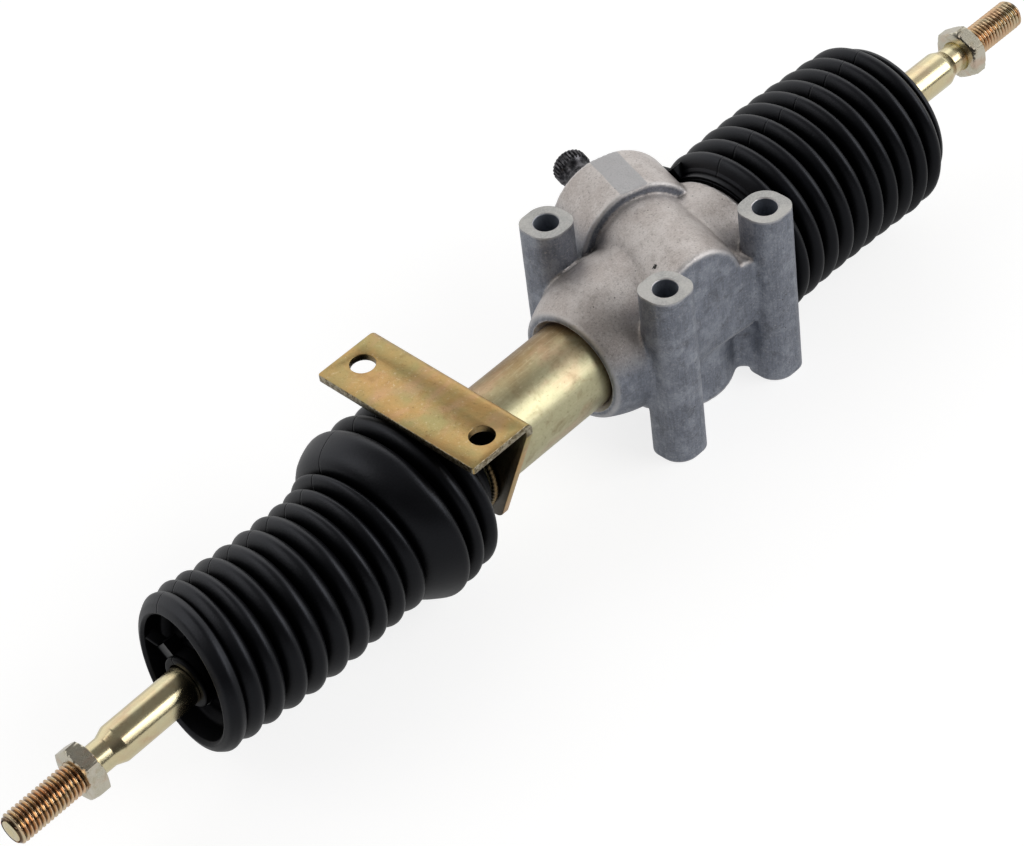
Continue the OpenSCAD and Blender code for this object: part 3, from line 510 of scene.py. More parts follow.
def cast_skin():
    """Raw die casting: cloudy grey, drawn streaks on its upright walls, milled post tops and dark pits; the walls and
    creases carry painted shade, the edges wear and a painted highlight, the bores a painted light.
    """
    s = Surface("cast aluminium", Metallic=0.8, Roughness=0.45)
    upright_wall = 1.0 - s.dot(s.geometry("Normal"), (0, 0, 1)).stepped(0.15, 0.65)
    clouds = s.noise(13, 5, 0.62)
    blotch = s.noise(4.5, 4, 0.6)
    grain = s.noise(0.8, 4, 0.7)
    streaks = s.noise(0.7, 3, 0.6, at=s.stretched(1.0, 1.0, 0.1))
    # Upright walls get a darker, bluer tone than the tops: a painted shade set by which way each face turns. The
    # streaks and mottling in it are the casting's own.
    wall_in_painted_shade = s.mixed(streaks.stepped(0.25, 0.75), tone(108, 115, 128), tone(130, 137, 151))
    wall_in_painted_shade = s.mixed(s.noise(9, 4, 0.65, 0.3).stepped(0.42, 0.66) * 0.6, wall_in_painted_shade, tone(168, 174, 186))
    wall_in_painted_shade = s.mixed(s.noise(6, 4, 0.65, 0.3).stepped(0.52, 0.7) * 0.5, wall_in_painted_shade, tone(76, 81, 92))
    s.base = s.mixed(clouds.stepped(0.36, 0.64), tone(192, 184, 180), tone(212, 206, 203))
    s.coat(blotch.stepped(0.5, 0.74) * 0.4, 158, 149, 145)
    s.base = s.mixed(upright_wall * 0.92, s.base, wall_in_painted_shade)
    s.coat(grain.stepped(0.52, 0.68) * (0.5 - 0.28 * upright_wall), 222, 219, 218)
    s.coat(grain.stepped(0.47, 0.32) * 0.45, 96, 93, 93)
    scuffs = s.noise(2.2, 6, 0.8, 0.5).stepped(0.6, 0.68) * s.noise(14, 2).stepped(0.5, 0.6)
    s.coat(scuffs * 0.5, 236, 232, 229)
    pits = 1.0 - s.cells(3.4).stepped(0.05, 0.12)
    rare = s.noise(7, 1).stepped(0.55, 0.62)
    s.coat(pits * rare * 0.8, 46, 44, 44)
    scar = s.near(10.5, -13.9, 72.7) + 2.6 * s.noise(0.5, 3) - 1.3
    s.coat((1.0 - scar.stepped(0.8, 1.15)) * 0.95, 20, 18, 18)
    # Painted shade: darker in the creases and hollows where the casting closes in on itself.
    painted_crease_shade = 1.0 - s.openness(4, own=True).stepped(0.3, 0.72)
    s.coat(painted_crease_shade * 0.7, 46, 46, 50)
    # Pointiness: convex edges are painted lighter, partly as edge wear and partly as a painted highlight; concave
    # creases are painted darker, as painted shade.
    sharp = Amount(s.tree, s.geometry("Pointiness"))
    s.coat(sharp.stepped(0.503, 0.53) * 0.5, 228, 226, 226)
    s.coat((1.0 - sharp.stepped(0.44, 0.487)) * 0.5, 58, 58, 62)
    rise, reach = s.along_pinion(PINION_T), s.along_pinion(PINION_U)
    flat = rise.stepped(TOWER_FLAT - 0.1, TOWER_FLAT - 0.04) * reach.stepped(13.0, 13.6)
    s.coat(flat * 0.7, 176, 178, 182)
    milled = s.z.stepped(POST_TOP - 0.06, POST_TOP - 0.02)
    top = s.mixed(clouds.stepped(0.4, 0.6), tone(166, 166, 165), tone(190, 189, 186))
    top = s.mixed(grain.stepped(0.42, 0.58) * 0.3, top, tone(214, 213, 210))
    s.base = s.mixed(milled, s.base, top)
    # Post bores: a machined tone, made pale and bluish to stand for light reflected inside the bore, a painted light.
    # It covers the painted crease shade there.
    bored = 1.0 - s.away_from_posts().stepped(POST_BORE + 0.02, POST_BORE + 0.14)
    s.coat(bored, 148, 154, 165)
    s.relief(grain * (1.0 - milled), 0.22)
    s.relief(blotch * (1.0 - milled), 0.25)
    s.relief(streaks * upright_wall, 0.04)
    return s.finished(0.34 + 0.18 * clouds + 0.08 * grain + 0.06 * bored + 0.05 * flat)


def zinc(
    name, warm, olive, brown, rough, clouds, stains, specks,
    sheared=None, across=0.0, waves=0.0, lined=0.2, mouth=None, threaded=False, shaded=0.0,
):
    """Zinc plating with a chromate film, whose tint wanders over the surface; across paints one side lighter and the
    other darker, threaded paints the thread roots darker and shaded paints shade where other parts lie near, all
    painted light and shade.
    """
    s = Surface(name, Metallic=1.0, Roughness=rough)
    drift = s.noise(clouds, 3, 0.6, 0.3)
    stain = s.noise(clouds * 0.45, 4, 0.6, 0.4)
    rose = s.noise(clouds * 0.7, 3, 0.6, 0.3, at=s.stretched(0.6, 1.0, 1.0))
    fine = s.noise(0.6, 3, 0.65)
    speck = s.noise(1.3, 4, 0.72)
    lines = s.noise(1.1, 3, 0.6, at=s.stretched(0.06, 1.0, 1.0))
    tint_and_painted_side_light = drift
    # With across, the side towards the front and below is painted lighter and the side towards the back and above is
    # painted darker: painted light and shade over the film's tint.
    if across:
        towards = (s.y * cos(BEND_TOWARDS) + (s.z - RACK_AXIS) * sin(BEND_TOWARDS)) / across
        tint_and_painted_side_light = drift * 0.45 + 0.5 - 0.3 * towards
    s.base = s.mixed(tint_and_painted_side_light.stepped(0.35, 0.75), tone(*warm), tone(*olive))
    s.coat(rose.stepped(0.5, 0.72) * 0.4, 206, 162, 136)
    s.coat(stain.stepped(0.5, 0.7) * stains, *brown)
    s.coat(speck.stepped(0.58, 0.72) * specks, 112, 92, 66)
    s.coat(speck.stepped(0.42, 0.3) * specks, 222, 208, 178)
    s.coat(lines.stepped(0.5, 0.7) * lined, 216, 206, 176)
    if mouth is not None:
        stained = s.x.stepped(mouth - 3.2, mouth - 0.2) + 0.6 * (speck - 0.5)
        s.coat(stained.within(0.0, 1.0) * 0.9, 92, 64, 40)
    if threaded:
        middle, half_span = (BALLS["left"] + BALLS["right"]) / 2, (BALLS["right"] - BALLS["left"]) / 2
        droop = ((s.x - middle).size() - half_span) * tan(ROD_DROOP)
        away = (s.y * s.y + (s.z - RACK_AXIS + droop) ** 2.0) ** 0.5
        # Painted shade: the roots of the thread are darker than its crests.
        s.coat((1.0 - away.stepped(4.9, 5.6)) * 0.9, 70, 46, 30)
    if sheared:
        edge = s.x.below(sheared[0]) + s.y.size().stepped(sheared[1], sheared[1] + 0.2)
        rim = s.mixed(speck.stepped(0.4, 0.6), tone(84, 76, 60), tone(172, 166, 148))
        s.base = s.mixed(edge.lesser(1.0) * 0.85, s.base, rim)
    if shaded:
        s.coat((1.0 - s.openness(shaded).stepped(0.45, 0.9)) * 0.95, 50, 50, 43)
    if waves:
        s.relief(fine, waves)
        s.relief(speck, waves * 1.5)
    return s.finished(rough + 0.2 * (fine - 0.5) + 0.12 * (drift - 0.5) + 0.1 * (stain - 0.5))


def rubber(name, base, dust, rough, seam=None, depth=0.05, sheen=0.5, shaded=0.0, pocket=None):
    """Moulded rubber with a fine bloom, and the mould's seam where it has one; with shaded, painted shade darkens its
    hollows, its end pocket and the faces turned away from the light above.
    """
    s = Surface(name, Roughness=rough, Specular_IOR_Level=sheen, Specular_Tint=(0.84, 0.88, 1.0, 1.0))
    bloom = s.noise(22, 4, 0.6)
    fine = s.noise(0.7, 3, 0.6)
    shade = s.mixed(bloom.stepped(0.35, 0.7), tone(*base), tone(*dust))
    if seam:
        on_right, high = s.x.stepped(-1.0, 1.0), s.z - RACK_AXIS
        left, right = radians(seam[0]), radians(seam[1])
        across = s.y * sin(left) - high * cos(left), s.y * sin(right) - high * cos(right)
        along = s.y * cos(left) + high * sin(left), s.y * cos(right) + high * sin(right)
        across, along = (pair[0] + (pair[1] - pair[0]) * on_right for pair in (across, along))
        line = (1.0 - across.size().stepped(0.12, 0.5)) * along.stepped(0.0, 4.0)
        shade = s.mixed(line * 0.85, shade, tone(3, 3, 3))
        s.relief(1.0 - line, 0.5)
    if shaded:
        # Painted light and shade: darker in hollows, inside the end pocket and on faces turned away from the light
        # above, with the sheen taken down there too.
        painted_light_share = s.openness(shaded).stepped(0.3, 1.0)
        if pocket:
            inside = s.x.below(pocket[0]) * (1.0 - s.away_from_rack().stepped(pocket[1] - 1.0, pocket[1] + 1.0))
            painted_light_share = painted_light_share * (1.0 - 0.85 * inside)
        towards_light = s.dot(s.geometry("Normal"), (-0.1, 0.35, 0.93)).stepped(-0.3, 0.9)
        painted_light_share = painted_light_share * (0.4 + 0.6 * towards_light)
        shade = s.mixed(painted_light_share, tone(3, 3, 4), shade)
        plug(s.tree, s.shader.inputs["Specular IOR Level"], 0.04 + sheen * painted_light_share)
    s.base = shade
    s.relief(fine, depth)
    return s.finished(rough + 0.14 * (bloom - 0.5))


def plain(name, base, metallic, rough):
    """Finish of an inner piece: even colour with slight wear and fine machining."""
    s = Surface(name, Metallic=metallic, Roughness=rough)
    wear, fine = s.noise(9, 4, 0.6), s.noise(1.0, 3, 0.6)
    fresh = tone(*base)
    worn = (*(min(1.0, c * 1.25 + 0.01) for c in fresh[:3]), 1.0)
    s.base = s.mixed(wear.stepped(0.4, 0.7), fresh, worn)
    s.relief(fine, 0.02)
    return s.finished(rough + 0.12 * (fine - 0.5))


def shaft_finish():
    """Ground steel inside the housing, black oxide on the end that stands out."""
    s = Surface("pinion shaft steel", Metallic=0.9, Roughness=0.34)
    outside = s.along_pinion(PINION_U).stepped(36.8, 37.2)
    worn = s.noise(2.2, 4, 0.65)
    black = s.mixed(worn.stepped(0.4, 0.65), tone(44, 44, 47), tone(104, 103, 107))
    ground = s.mixed(worn.stepped(0.4, 0.7), tone(168, 170, 172), tone(190, 191, 192))
    s.base = s.mixed(outside, ground, black)
    s.relief(s.noise(0.6, 3, 0.6), 0.02)
    return s.finished(0.3 + 0.14 * worn)


CAST = cast_skin()
PLATE = zinc(
    "yellow zinc plate", (192, 156, 102), (172, 160, 110), (156, 122, 78), 0.4, 15, 0.4, 0.5,
    sheared=(-106.85, 37.25), waves=0.05, lined=0.0, shaded=30.0,
)
# On the tube, the olive tone is its painted highlight side and the warm tone is its painted shade side.
TUBE = zinc(
    "yellow zinc tube", (144, 116, 76), (192, 187, 152), (130, 102, 66), 0.38, 20, 0.4, 0.35,
    across=TUBE_RADIUS, waves=0.02, mouth=-20.0,
)
ROD_ZINC = zinc("yellow zinc forging", (222, 208, 168), (218, 212, 176), (204, 174, 128), 0.21, 10, 0.3, 0.12)
THREAD_ZINC = zinc(
    "yellow zinc thread", (222, 184, 146), (212, 200, 168), (200, 142, 106), 0.2, 8, 0.5, 0.1, threaded=True
)
NUT_ZINC = zinc("pale zinc nut", (210, 204, 188), (200, 196, 178), (164, 148, 112), 0.24, 8, 0.4, 0.1, waves=0.006)
BOOT = rubber("boot rubber", (5, 5, 7), (13, 13, 17), 0.4, SEAM_ANGLES, sheen=0.4, shaded=12.0, pocket=(-198.0, 23.0))
SEAL = rubber("seal rubber", (34, 30, 28), (52, 46, 42), 0.4)
NYLON = rubber("black nylon", (10, 10, 11), (18, 18, 19), 0.34, depth=0.02, sheen=0.35, shaded=8.0)
SHAFT = shaft_finish()
STEEL = plain("ground steel", (178, 180, 182), 1.0, 0.3)
CAD_FINISHES = {
    "cast_aluminium": CAST,
    "yellow_zinc": TUBE,
    "pale_zinc": NUT_ZINC,
    "steel": STEEL,
    "yoke_aluminium": plain("machined aluminium", (190, 191, 193), 1.0, 0.35),
    "boot_rubber": BOOT,
    "seal_rubber": SEAL,
    "black_plastic": NYLON,
    "white_plastic": plain("white acetal", (226, 224, 214), 0.0, 0.4),
    "brass": plain("bronze and brass", (196, 160, 92), 1.0, 0.3),
}


def finish_cad_nodes():
    """Gives every solid that stays in view a finish for its own slot."""
    named = {part["node"]: part["material_slot"] for part in frame["record"]["subparts"]}
    for name, node in frame["nodes"].items():
        finish = CAD_FINISHES.get(named.get(name, ""), STEEL)
        if not node.data.materials:
            node.data.materials.append(finish)
        for slot in node.material_slots:
            base = slot.material.name.split(".")[0] if slot.material else ""
            slot.material = CAD_FINISHES.get(base, finish)


# ---------------------------------------------------------------- boots


def fold_recipe(name, knots):
    """Bellows: knots are (x, r) in millimetres, valley, crest, valley, ... from end to end."""
    folds = len(knots) // 2
    recipe = Recipe(
        name, Start=knots[0][0] * MM, End=knots[-1][0] * MM, Folds=float(folds),
        Steps_along=folds * FOLD_STEPS + 1, Steps_around=129, Fullness=0.8, Axis_height=0.04, Waviness=0.0003,
    )
    mesh, u, v = recipe.sheet(recipe["Steps_along"], recipe["Steps_around"])
    low, high = knots[0][0], knots[-1][0]
    shares = [i / (len(knots) - 1) for i in range(len(knots))]
    place = [(share, (x - low) / (high - low)) for share, (x, _) in zip(shares, knots)]
    valleys, crests = ([(share, r / CURVE_TOP) for share, (_, r) in list(zip(shares, knots))[i::2]] for i in (0, 1))
    crests = [(0.0, crests[0][1])] + crests + [(1.0, crests[-1][1])]
    x = recipe["Start"] + (recipe["End"] - recipe["Start"]) * recipe.curve(u, place, "AUTO_CLAMPED")
    valley = recipe.curve(u, valleys) * (CURVE_TOP * MM)
    crest = recipe.curve(u, crests) * (CURVE_TOP * MM)
    swell = (u * recipe["Folds"] * pi).sine().size() ** recipe["Fullness"]
    angle = v * FULL_TURN
    r = valley + (crest - valley) * swell
    uneven = recipe.wave(x, r * angle.cosine(), r * angle.sine(), 0.03, 3.0)
    recipe.rolled(mesh, x, r + uneven * recipe["Waviness"] * 2.0, angle)
    return recipe


def bellows(name, crests, valleys, bend):
    """One stretch of a boot, with its rubber wall."""
    knots = [valleys[0]]
    for crest, valley in zip(crests, valleys[1:]):
        knots += [crest, valley]
    piece = grow(fold_recipe(name, knots), name, BOOT, sharp=60)
    face = piece.data.polygons[0]
    if face.normal.dot(face.center - Vector((face.center.x, 0, RACK_AXIS * MM))) < 0:
        piece.data.flip_normals()
    shell = piece.modifiers.new("Wall", "SOLIDIFY")
    shell.thickness = 1.6 * MM
    shell.offset = -1.0
    return bent(tidy(settle(piece), 60), bend)


LEFT_BEND = (
    (-92, 0.3, 0.0), (-98, 1.0, 0.0), (-107, 0.75, -0.035), (-116, 0.8, -0.07), (-123, 1.2, -0.13),
    (-129, 0.7, -0.12), (-134, -0.5, -0.05), (-140, -1.2, -0.01), (-148, -1.4, 0.01), (-158, -1.5, 0.035),
    (-167, -1.4, 0.055), (-176, -1.1, 0.076), (-184, -0.6, 0.085), (-193, 0.4, 0.11), (-201, 1.3, 0.15),
    (-209, 1.6, 0.185), (-220, 1.7, 0.19),
)
RIGHT_BEND = (
    (64, 0.0, 0.0), (75, 0.1, 0.0), (86, 0.45, 0.0), (100, 0.4, 0.0), (110, 0.2, 0.0), (120, -0.2, 0.01),
    (133, -0.8, 0.02), (141, -1.3, 0.03), (150, -1.3, 0.03), (165, -1.0, 0.02),
)


def bent(piece, bend, core=10.0):
    """Moves and tilts a boot off its axis; what lies within the core radius stays on the rod or tube."""
    mesh = piece.data
    co = np.empty(len(mesh.vertices) * 3)
    mesh.vertices.foreach_get("co", co)
    co = co.reshape(-1, 3) / MM
    rows = np.array(sorted(bend))
    x, y, z = co[:, 0].copy(), co[:, 1].copy(), co[:, 2] - RACK_AXIS
    taps = (-4.0, -2.0, 0.0, 2.0, 4.0)
    shift = sum(np.interp(x + tap, rows[:, 0], rows[:, 1]) for tap in taps) / len(taps)
    tilt = sum(np.interp(x + tap, rows[:, 0], rows[:, 2]) for tap in taps) / len(taps)
    share = np.clip((np.hypot(y, z) - core) / 8.0, 0, 1)
    share = share * share * (3 - 2 * share)
    towards = y * cos(BEND_TOWARDS) + z * sin(BEND_TOWARDS)
    co[:, 0] += tilt * towards * share
    co[:, 1] += cos(BEND_TOWARDS) * shift * share
    co[:, 2] += sin(BEND_TOWARDS) * shift * share
    mesh.vertices.foreach_set("co", (co * MM).ravel())
    mesh.update()
    return piece


def make_boot(side, bend, stretches, end, cuff, cuff_core):
    """Three stretches of folds, named for the slide, the lift and the swing, and the two turned ends."""
    node, seat, rod = side + "_boot", side + "_seat", side + "_rod"
    bodies = {"slide": ("housing", "rack"), "lift": ("rack", seat), "swing": (seat, rod)}
    for (motion, pair), (crests, valleys, start, stop) in zip(bodies.items(), stretches):
        folds = bellows(f"{node}_{motion}_folds", crests, valleys, bend)
        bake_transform(folds)
        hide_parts(node)
    for name, body, outline, core in (("_end", rod, end, 10.0), ("_cuff", "housing", cuff, cuff_core)):
        piece = turned(node + name, outline, along_rack, BOOT, steps=128, closed=True, sharp=60)
        fitted(bent(piece, bend, core), body, node)


def make_left_boot():
    crests = [
        (-98.2, 34.7), (-107.3, 36.0), (-117.2, 36.6), (-132.8, 29.7), (-140.0, 28.9), (-148.2, 28.8),
        (-157.0, 29.1), (-166.1, 29.2), (-175.7, 29.3), (-184.4, 29.2), (-193.4, 29.2), (-201.2, 29.3),
    ]
    valleys = [
        (-94.0, 28.9), (-102.6, 30.4), (-111.6, 31.0), (-129.0, 26.6), (-136.4, 24.6), (-144.2, 24.0),
        (-152.4, 24.0), (-161.6, 24.2), (-171.2, 24.4), (-180.2, 24.6), (-189.2, 24.6), (-197.4, 25.0), (-205.3, 26.4),
    ]
    stretches = [
        (crests[:8], valleys[:9], -0.094, -0.169),
        (crests[8:10], valleys[8:11], -0.1712, -0.1885),
        (crests[10:], valleys[10:], -0.1896, -0.2045),
    ]
    end = [
        (-205.3, 26.4), (-206.6, 28.3, 1.4), (-209.2, 29.1, 2.5), (-212.4, 27.0, 3.0), (-213.6, 24.3, 0.7),
        (-212.4, 23.2, 0.8), (-204.9, 22.8, 2), (-202.6, 19.6, 3), (-204.6, 13.6, 3), (-206.6, 11.0, 1.2),
        (-206.7, 9.2, 0.3), (-211.4, 9.2, 0.3), (-211.4, 10.2, 0.5), (-213.2, 10.0, 0.9), (-213.2, 7.5, 0.2),
        (-206.0, 7.5), (-204.4, 11.0, 1.5), (-200.9, 17.0, 3), (-200.4, 21.6, 2), (-204.0, 24.6, 1),
    ]
    cuff = [
        (-85.2, 17.6), (-85.2, 19.9, 0.6), (-92.2, 19.9, 1), (-93.2, 24.0, 1.5), (-93.9, 28.9), (-95.4, 27.6),
        (-94.6, 19.0, 1.5), (-93.4, 17.6),
    ]
    make_boot("left", LEFT_BEND, stretches, end, cuff, 20.0)


def make_right_boot():
    first, pitch, r, root = 68.4, 8.62, 35.0, 29.2
    crests = [(first + pitch * k, r if k < 9 else 34.4) for k in range(10)]
    valleys = [(64.6, 30.6)] + [(first + pitch * (k + 0.5), root) for k in range(10)]
    lift, swing, last = (valleys[k][0] for k in (6, 8, 10))
    stretches = [
        (crests[:6], valleys[:7], 0.066, lift * MM - 0.001),
        (crests[6:8], valleys[6:9], lift * MM, swing * MM - 0.001),
        (crests[8:], valleys[8:], swing * MM + 0.001, last * MM - 0.001),
    ]
    end = [
        (last, root), (151.4, 30.8, 1.2), (153.4, 29.8, 2), (156.4, 25.2, 3), (158.6, 14.0, 3), (160.6, 9.9, 1.5),
        (161.6, 9.3, 0.4), (166.8, 9.3, 0.4), (166.8, 10.1, 0.5), (168.0, 9.9, 0.6), (168.0, 7.5, 0.2), (157.8, 7.5),
        (157.0, 12.0, 3), (154.6, 24.0, 3), (151.6, 28.2, 2), (last + 0.2, root - 1.6),
    ]
    cuff = [
        (61.4, 25.6), (61.4, 27.6, 0.5), (63.2, 27.6, 0.4), (63.8, 29.6, 0.6), (64.8, 30.8), (64.9, 29.0), (64.2, 25.6),
    ]
    make_boot("right", RIGHT_BEND, stretches, end, cuff, 30.0)


# ---------------------------------------------------------------- tie rods and jam nuts


def thread_recipe():
    """A rolled thread: a sheet wrapped round the rod, whose radius climbs one pitch a turn."""
    recipe = Recipe(
        "rolled thread", Start=(ROD_LENGTH - THREAD_LENGTH) * MM, Length=THREAD_LENGTH * MM - 0.0003,
        Pitch=0.00175, Tip_radius=0.00598, Depth=0.00102, Lead_in=0.0014, Steps_along=300, Steps_around=73,
        Ball_x=0.0, Axis_height=RACK_AXIS * MM, Droop=ROD_DROOP, Direction=1.0,
    )
    mesh, u, v = recipe.sheet(recipe["Steps_along"], recipe["Steps_around"])
    along = u * recipe["Length"]
    angle = v * FULL_TURN
    turn = ((along / recipe["Pitch"]) - v + 8.0).fraction()
    flank = 1.0 - (turn * 2.0 - 1.0).size()
    flank = ((flank - 0.12) / 0.76).within(0.0, 1.0)
    end = (recipe["Length"] - along).within(0.0, recipe["Lead_in"])
    r = recipe["Tip_radius"] - recipe["Depth"] * flank
    r = r.lesser(recipe["Tip_radius"] - recipe["Lead_in"] + end)
    start = (along / 0.0012).within(0.0, 1.0)
    r = r * start + (1.0 - start) * (recipe["Tip_radius"] - recipe["Depth"])
    s = recipe["Start"] + along
    high = r * angle.sine()
    fall, level = recipe["Droop"].sine(), recipe["Droop"].cosine()
    x = recipe["Ball_x"] + recipe["Direction"] * (s * level + high * fall)
    z = recipe["Axis_height"] - s * fall + high * level
    recipe.output(recipe.placed(mesh, x, r * angle.cosine(), z))
    return recipe


THREAD = thread_recipe()


def make_rod(side):
    node, body = side + "_tie_rod", side + "_rod"
    neck_end = ROD_LENGTH - THREAD_LENGTH
    shank_end = neck_end - 11.0
    outline = [
        (-11.0, 0.0), (-10.6, 2.8), (-9.5, 5.5), (-7.8, 7.8), (-5.5, 9.5), (-2.9, 10.6), (0, 11.0), (2.9, 10.6),
        (5.5, 9.5), (7.8, 7.8), (9.5, 5.2, 1.0), (12.5, 5.2, 2), (16.8, 7.3, 2), (20, 7.3), (shank_end - 1.2, 7.3, 2.5),
        (shank_end + 2.8, 5.75, 1.8), (neck_end - 0.6, 5.75, 0.4), (neck_end, 5.2, 0.2), (neck_end + 0.8, 4.9),
        (ROD_LENGTH - 1.0, 4.3), (ROD_LENGTH - 0.3, 4.1, 0.5), (ROD_LENGTH - 0.3, 2.4, 0.3), (ROD_LENGTH - 1.4, 0.0),
    ]
    rod = turned(node + "_forging", outline, along_rod(side), ROD_ZINC)
    fitted(rod, body, node)
    screw = grow(THREAD, node + "_thread", THREAD_ZINC, sharp=25, Ball_x=BALLS[side] * MM, Direction=float(OUT[side]))
    fitted(screw, body, node)
    fitted(make_nut(side), body, side + "_jam_nut")


def make_nut(side):
    """Hexagon nut, bevelled on both faces, its bore countersunk."""
    across, thick = 9.5, NUT_THICK
    corner = across / cos(pi / 6)
    rows = [
        (0.8, 5.3), (0.0, 6.3), (0.0, 6.9), (0.0, 8.4), (0.12, 9.0), (0.5, 9.7), (0.9, 10.4), (1.3, corner),
        (thick / 2, corner), (thick - 1.3, corner), (thick - 0.9, 10.4), (thick - 0.5, 9.7), (thick - 0.12, 9.0),
        (thick, 8.4), (thick, 6.9), (thick, 6.3), (thick - 0.8, 5.3), (thick / 2, 5.25),
    ]
    s, r = (np.array(column)[:, None] for column in zip(*rows))
    angle = np.linspace(0, FULL_TURN, 180, endpoint=False)[None, :]
    hexagon = across / np.cos(np.mod(angle + pi / 6 - radians(NUT_TURN[side]), pi / 3) - pi / 6)
    r = np.where(r > 9.05, np.minimum(r, hexagon), r + 0 * angle)
    places = along_rod(side)(s + NUT_START + 0 * angle, angle, r)
    return tidy(swept(side + "_jam_nut_body", *places, NUT_ZINC), 24, merge=1e-7)


# ---------------------------------------------------------------- tube and bracket


def make_tube():
    low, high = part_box("rack_tube")
    x0, x1 = low.x / MM, high.x / MM
    outline = [(x0, TUBE_BORE), (x0, TUBE_RADIUS, 0.4), (x1, TUBE_RADIUS, 0.3), (x1, TUBE_BORE)]
    tube = turned("rack_tube_skin", outline, along_rack, TUBE, steps=160, closed=True)
    fitted(tube, "housing", "rack_tube")


def make_bracket():
    """The plate of the solid, with its bend pulled tighter and a little further out."""
    bracket = merged_copy("mounting_bracket_plate", "mounting_bracket", PLATE)
    vertices = bracket.data.vertices
    high = max(vertex.co.z for vertex in vertices) / MM
    right = max(vertex.co.x for vertex in vertices) / MM
    for vertex in vertices:
        x, z = vertex.co.x / MM, vertex.co.z / MM
        off = Vector((x - (right - BEND), z - (high - BEND)))
        if off.x > -0.01 and off.y > -0.01:
            inner = off.normalized() * (off.length - (BEND - BEND_SEEN)) if off.length else off
            x, z = right - BEND_SEEN + inner.x, high - BEND_SEEN + inner.y
        if x > right - 7:
            x += PLATE_REACH
        vertex.co.x, vertex.co.z = x * MM, z * MM
    eased_edges(bracket, 0.3, 35)
    fitted(bracket, "housing", "mounting_bracket")


# ---------------------------------------------------------------- housing casting


class Forms:
    """Distances in millimetres from the forms of a casting, as amounts in a recipe."""

    def __init__(self, recipe):
        self.tree = recipe.tree
        place = recipe.node("GeometryNodeInputPosition").outputs[0]
        self.at = vector_math(self.tree, "SCALE", place, scale=1000.0)
        self.x, self.y, self.z = split(self.tree, self.at)

    def along(self, origin, direction):
        """How far along an axis, and how far away from it."""
        off = vector_math(self.tree, "SUBTRACT", self.at, origin)
        s = Amount(self.tree, vector_math(self.tree, "DOT_PRODUCT", off, direction, out=1))
        foot = vector_math(self.tree, "SCALE", direction, scale=s)
        away = vector_math(self.tree, "SUBTRACT", off, foot)
        return s, Amount(self.tree, vector_math(self.tree, "LENGTH", away, out=1))

    def both(self, first, second, edge):
        """Inside both limits, with the corner between them rounded."""
        first, second = first + edge, second + edge
        a, b = first.greater(0.0), second.greater(0.0)
        return (a * a + b * b) ** 0.5 + first.greater(second).lesser(0.0) - edge

    def bar(self, origin, direction, radius, low, high, edge):
        s, away = self.along(origin, direction)
        return self.both(away - radius, (s - (low + high) / 2).size() - (high - low) / 2, edge)

    def block(self, low, high, edge):
        """Box between two corners in x and z; it is open towards y."""
        a = (self.x - (low[0] + high[0]) / 2).size() - (high[0] - low[0]) / 2
        b = (self.z - (low[1] + high[1]) / 2).size() - (high[1] - low[1]) / 2
        return self.both(a, b, edge)

    def post(self, x, y, width, small, large):
        """Square bar with a large radius on one diagonal and a small one on the other."""
        off_x, off_y = self.x - x, self.y - y
        radius = large + (small - large) * (off_x * off_y).below(0.0)
        return self.both(off_x.size() - width / 2, off_y.size() - width / 2, radius)

    def web(self, origin, turn, reach, thickness, low, high):
        """Upright wall that runs from an axis towards a post."""
        cos_t, sin_t = cos(turn), sin(turn)
        off_x, off_y = self.x - origin[0], self.y - origin[1]
        forth = off_x * cos_t + off_y * sin_t
        across = (off_y * cos_t - off_x * sin_t).size() - thickness / 2
        level = (self.z - (low + high) / 2).size() - (high - low) / 2
        length = (forth - reach / 2).size() - reach / 2
        return self.both(across, level, 1.5).greater(length)

    def plane(self, normal, depth):
        return Amount(self.tree, vector_math(self.tree, "DOT_PRODUCT", self.at, normal, out=1)) - depth


